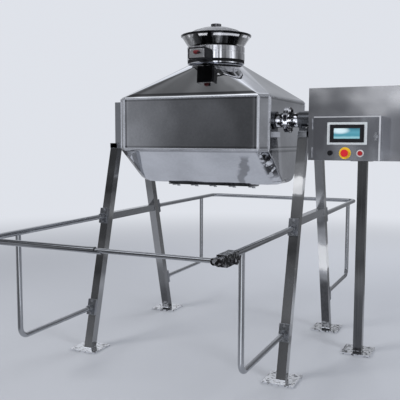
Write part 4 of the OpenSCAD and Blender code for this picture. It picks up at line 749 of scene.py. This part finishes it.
def rounded_slab(centre, half, corner, crown=0.0, steps=10):
    """A block that faces -Y: a rectangle with round corners, its front edge an arc too. half is
    its half width, half depth and half height, corner the radius of both, and crown how much the
    middle of its front stands proud, as a paraboloid."""
    centre, half = np.array(centre), np.array(half)
    turn = np.linspace(0, 2 * math.pi, 8 * steps, endpoint=False)
    reach = np.array([half[0] - corner, half[2] - corner])
    spread = np.stack([np.sign(np.round(np.cos(turn), 9)), np.sign(np.round(np.sin(turn), 9))], 1)
    round_part = np.stack([np.cos(turn), np.sin(turn)], 1)
    rows = []
    bite = np.linspace(0, math.pi / 2, steps)
    sizes = [(1.0, half[1])] + [(math.cos(b), half[1] * -1 + corner * (1 - math.sin(b)))
                                for b in bite]
    for size, y in sizes:
        flat = spread * reach + round_part * corner * size
        rows.append(np.column_stack([flat[:, 0], np.full(len(flat), y), flat[:, 1]]))
    edge = rows[-1]
    for share in (0.8, 0.6, 0.4, 0.2, 0.02):
        inner = edge * [share, 1, share]
        inner[:, 1] -= crown * (1 - share ** 2)
        rows.append(inner)
    return skin(np.array(rows) + centre)


def middle_and_half(name, grow=(0, 0, 0)):
    """Middle point and half size of a node's box, made larger by grow on each axis."""
    low, high = (np.array(corner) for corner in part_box(name))
    return (low + high) / 2, (high - low) / 2 + np.array(grow)


COVER_RIM, COVER_STAND = 0.009, 0.0015
cover_metal = Finish("actuator_cover_metal", metallic=0.8, roughness=0.30)
cover_metal.set("Base Color", cover_metal.mix(cover_metal.grain(30.0, (1, 1, 6)),
                                              (0.30, 0.30, 0.31, 1), (0.60, 0.60, 0.61, 1)))
cover_metal.relief(cover_metal.grain(500.0), 0.00004)
dressed(["actuator_body", "actuator_cover"], black_plastic, 0.006, bevels=3)
spot, half = middle_and_half("actuator_cover", (-COVER_RIM, COVER_STAND / 2, -COVER_RIM))
piece_of("actuator_cover_plate", [rounded_slab(spot - [0, COVER_STAND / 2, 0], half, 0.005)],
         cover_metal.owner, "vessel", sharp=40)
spot, half = middle_and_half("valve_indicator")
red_window = plastic("red_window", (0.10, 0.004, 0.007), 0.25, 0.4)
piece_of("valve_window", [rounded_slab(spot, half * [0.8, 1, 0.85], half[2] * 0.84, 0.002)],
         red_window, "valve", ["valve_indicator"], sharp=40)
pointer = spot + [half[0] * 0.70, -half[1] * 0.2, -half[2] * 0.25]
piece_of("valve_pointer", [rounded_slab(pointer, half * [0.34, 0.9, 0.30], 0.003)],
         black_plastic, "valve", sharp=40)


# Drive side and idle side: flanged trunnions with their bolts, bearings in cast housings that
# are bolted to the top beams, and the gears and the motor of the drive.

# the near-black and white spots of the trunnions and bolts are painted reflections
turned_steel = spotted("turned_steel", 0.04, 1.0, 0.12, (30, 26, 26), 0.05, 0.0005)
dressed(["drive_trunnion", "idle_trunnion"], turned_steel, 0.002)
dressed(["trunnion_bolts", "bearing_bolts"], turned_steel, 0.001)
housing_iron = steel("housing_iron", (0.13, 0.135, 0.145), 0.30, (120, 120, 120), 0.10, 0.08)
dressed(["drive_bearing_housing", "idle_bearing_housing"], housing_iron, 0.003)
gear_steel = steel("gear_steel", (0.42, 0.42, 0.44), 0.30, (200, 200, 200), 0.1, 0.05)
dressed(["bearings", "bull_gear", "drive_pinion"], gear_steel, 0.0004)
motor_paint = plastic("motor_paint", (0.035, 0.055, 0.085), 0.35, 0.3)
dressed("gear_motor", motor_paint, 0.003)


# Covers and control box: brushed stainless sheet, folded and welded, for the drive housing with
# its slotted back and for the cover of the idle bearing, and a control box whose door carries
# the screen and the buttons.

sheet_steel = steel("sheet_steel", (0.56, 0.57, 0.60), 0.15, (3, 3, 300), 0.03, 0.04, 0.0012,
                    2.2)
dressed(["housing_rear_cover", "idle_cover"], sheet_steel, 0.003)
house_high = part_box("drive_housing")[1]
satin = Finish("housing_steel", metallic=1.0)
east, _, height = satin.parts(satin.place)
lines = satin.grain(1.0, (3, 3, 300), 4.0)
cloud = satin.grain(3.4, (1, 1, 1.3), 2.0, 0.45)
# painted sheen: the housing grows lighter towards its top, and once more towards its upper right
upper = satin.step(height, house_high.z - 0.30, house_high.z)
upper_right = satin.step(east, 0.95, house_high.x) * satin.step(
    height, house_high.z - 0.26, house_high.z - 0.05)
painted_sheen = satin.step(cloud * 0.9 + upper * 0.30 + upper_right * 0.25, 0.50, 0.95)
satin.set("Base Color", satin.mix(painted_sheen, (0.44, 0.445, 0.47, 1), (0.98, 0.98, 1.0, 1)))
satin.set("Metallic", 1 - painted_sheen * 0.30)
satin.set("Roughness", 0.16 + (lines - 0.5) * 0.05)
satin.ripple(lines, 2.2, 0.0012)
dressed("drive_housing", satin.owner, 0.003)
door_steel = steel("door_steel", (0.50, 0.51, 0.54), 0.16, (4, 4, 300), 0.03, 0.05, 0.0008, 3.0)
dressed("control_box", door_steel, 0.006, bevels=3)
# a highlight is painted along the door's folded edges, on a strip of this width, right and above
EDGE = 0.011
door_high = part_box("control_door")[1]
edged = Finish("door_edge_steel")
east, _, height = edged.parts(edged.place)
lines = edged.grain(1.0, (4, 4, 300), 4.0)
cloud = edged.grain(6.0, (1, 1, 0.6), 2.0)
right_edge = edged.step(east, door_high.x - EDGE, door_high.x - EDGE * 0.7)
top_edge = edged.step(height, door_high.z - EDGE * 0.8, door_high.z - EDGE * 0.5)
edge_highlight = (right_edge + top_edge * 0.8).clamped()
edged.set("Metallic", 1 - edge_highlight * 0.9)
face = edged.mix(edged.step(cloud, 0.35, 0.70), (0.36, 0.365, 0.39, 1), (0.66, 0.67, 0.70, 1))
edged.set("Base Color", edged.mix(edge_highlight, face, (0.56, 0.57, 0.60, 1)))
edged.set("Roughness", 0.15 + lines * 0.05)
edged.relief(lines * LINE_DEPTH + cloud * 0.0012)
dressed("control_door", edged.owner, 0.006, bevels=3)
plate_paint = plastic("plate_paint", (0.60, 0.61, 0.60), 0.5)
dressed("control_plate", plate_paint, 0.001)
bezel_metal = Finish("bezel_metal", metallic=0.2, roughness=0.35)
bezel_metal.set("Base Color", bezel_metal.mix(bezel_metal.grain(40.0), (0.62, 0.66, 0.68, 1),
                                              (0.70, 0.73, 0.75, 1)))
dressed("hmi_bezel", bezel_metal.owner, 0.002)
dressed("hmi_housing", black_plastic, 0.002)
screen_low, screen_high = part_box("hmi_screen")
screen_glass = Finish("screen_glass", roughness=0.12, coat_weight=1.0, emission_strength=0.12)
east, _, height = screen_glass.parts(screen_glass.place)
# how far over and up the screen, from 0 to 1, and the middle of a painted glare at its upper left
over = (east - screen_low.x) / (screen_high.x - screen_low.x)
up = (height - screen_low.z) / (screen_high.z - screen_low.z)
GLARE_OVER, GLARE_UP = 0.26, 0.74
off_x, off_z = over - GLARE_OVER, up - GLARE_UP
glare = screen_glass.fall(off_x * off_x + off_z * off_z * 1.4, 0.0, 0.16) * 0.8
picture = screen_glass.node("ValToRGB", {"stops": [
    (0.0, (0.02, 0.12, 0.16, 1)), (0.18, (0.30, 0.55, 0.60, 1)), (0.34, (0.06, 0.26, 0.33, 1)),
    (0.60, (0.10, 0.33, 0.41, 1)), (0.85, (0.05, 0.20, 0.26, 1)), (1.0, (0.01, 0.05, 0.07, 1))]},
    {0: up + (screen_glass.grain(30.0) - 0.5) * 0.10})
# the painted glare glows with the picture
picture = screen_glass.mix(glare, picture, (0.80, 0.93, 0.96, 1))
# all of it inside a dark border
inside = screen_glass.within(over, 0.045, 0.955, 0.015) * screen_glass.within(up, 0.08, 0.92, 0.03)
picture = screen_glass.mix(inside, (0.006, 0.006, 0.008, 1), picture)
screen_glass.set("Base Color", picture)
screen_glass.set("Emission Color", picture)
dressed("hmi_screen", screen_glass.owner, 0.0005)
dressed("estop_legend", plastic("legend_yellow", (0.80, 0.50, 0.02), 0.35, 0.4), 0.001)
dressed("estop_button", plastic("stop_red", (0.60, 0.012, 0.02), 0.25, 0.6), 0.003, bevels=3)
dressed("button_ring", plastic("ring_white", (0.62, 0.60, 0.60), 0.35, 0.3), 0.001)
dressed("push_button", plastic("button_red", (0.33, 0.010, 0.014), 0.3, 0.5), 0.002)
dressed("selector_knob", black_plastic, 0.002)
dressed("door_latch", bolt_steel, 0.001)
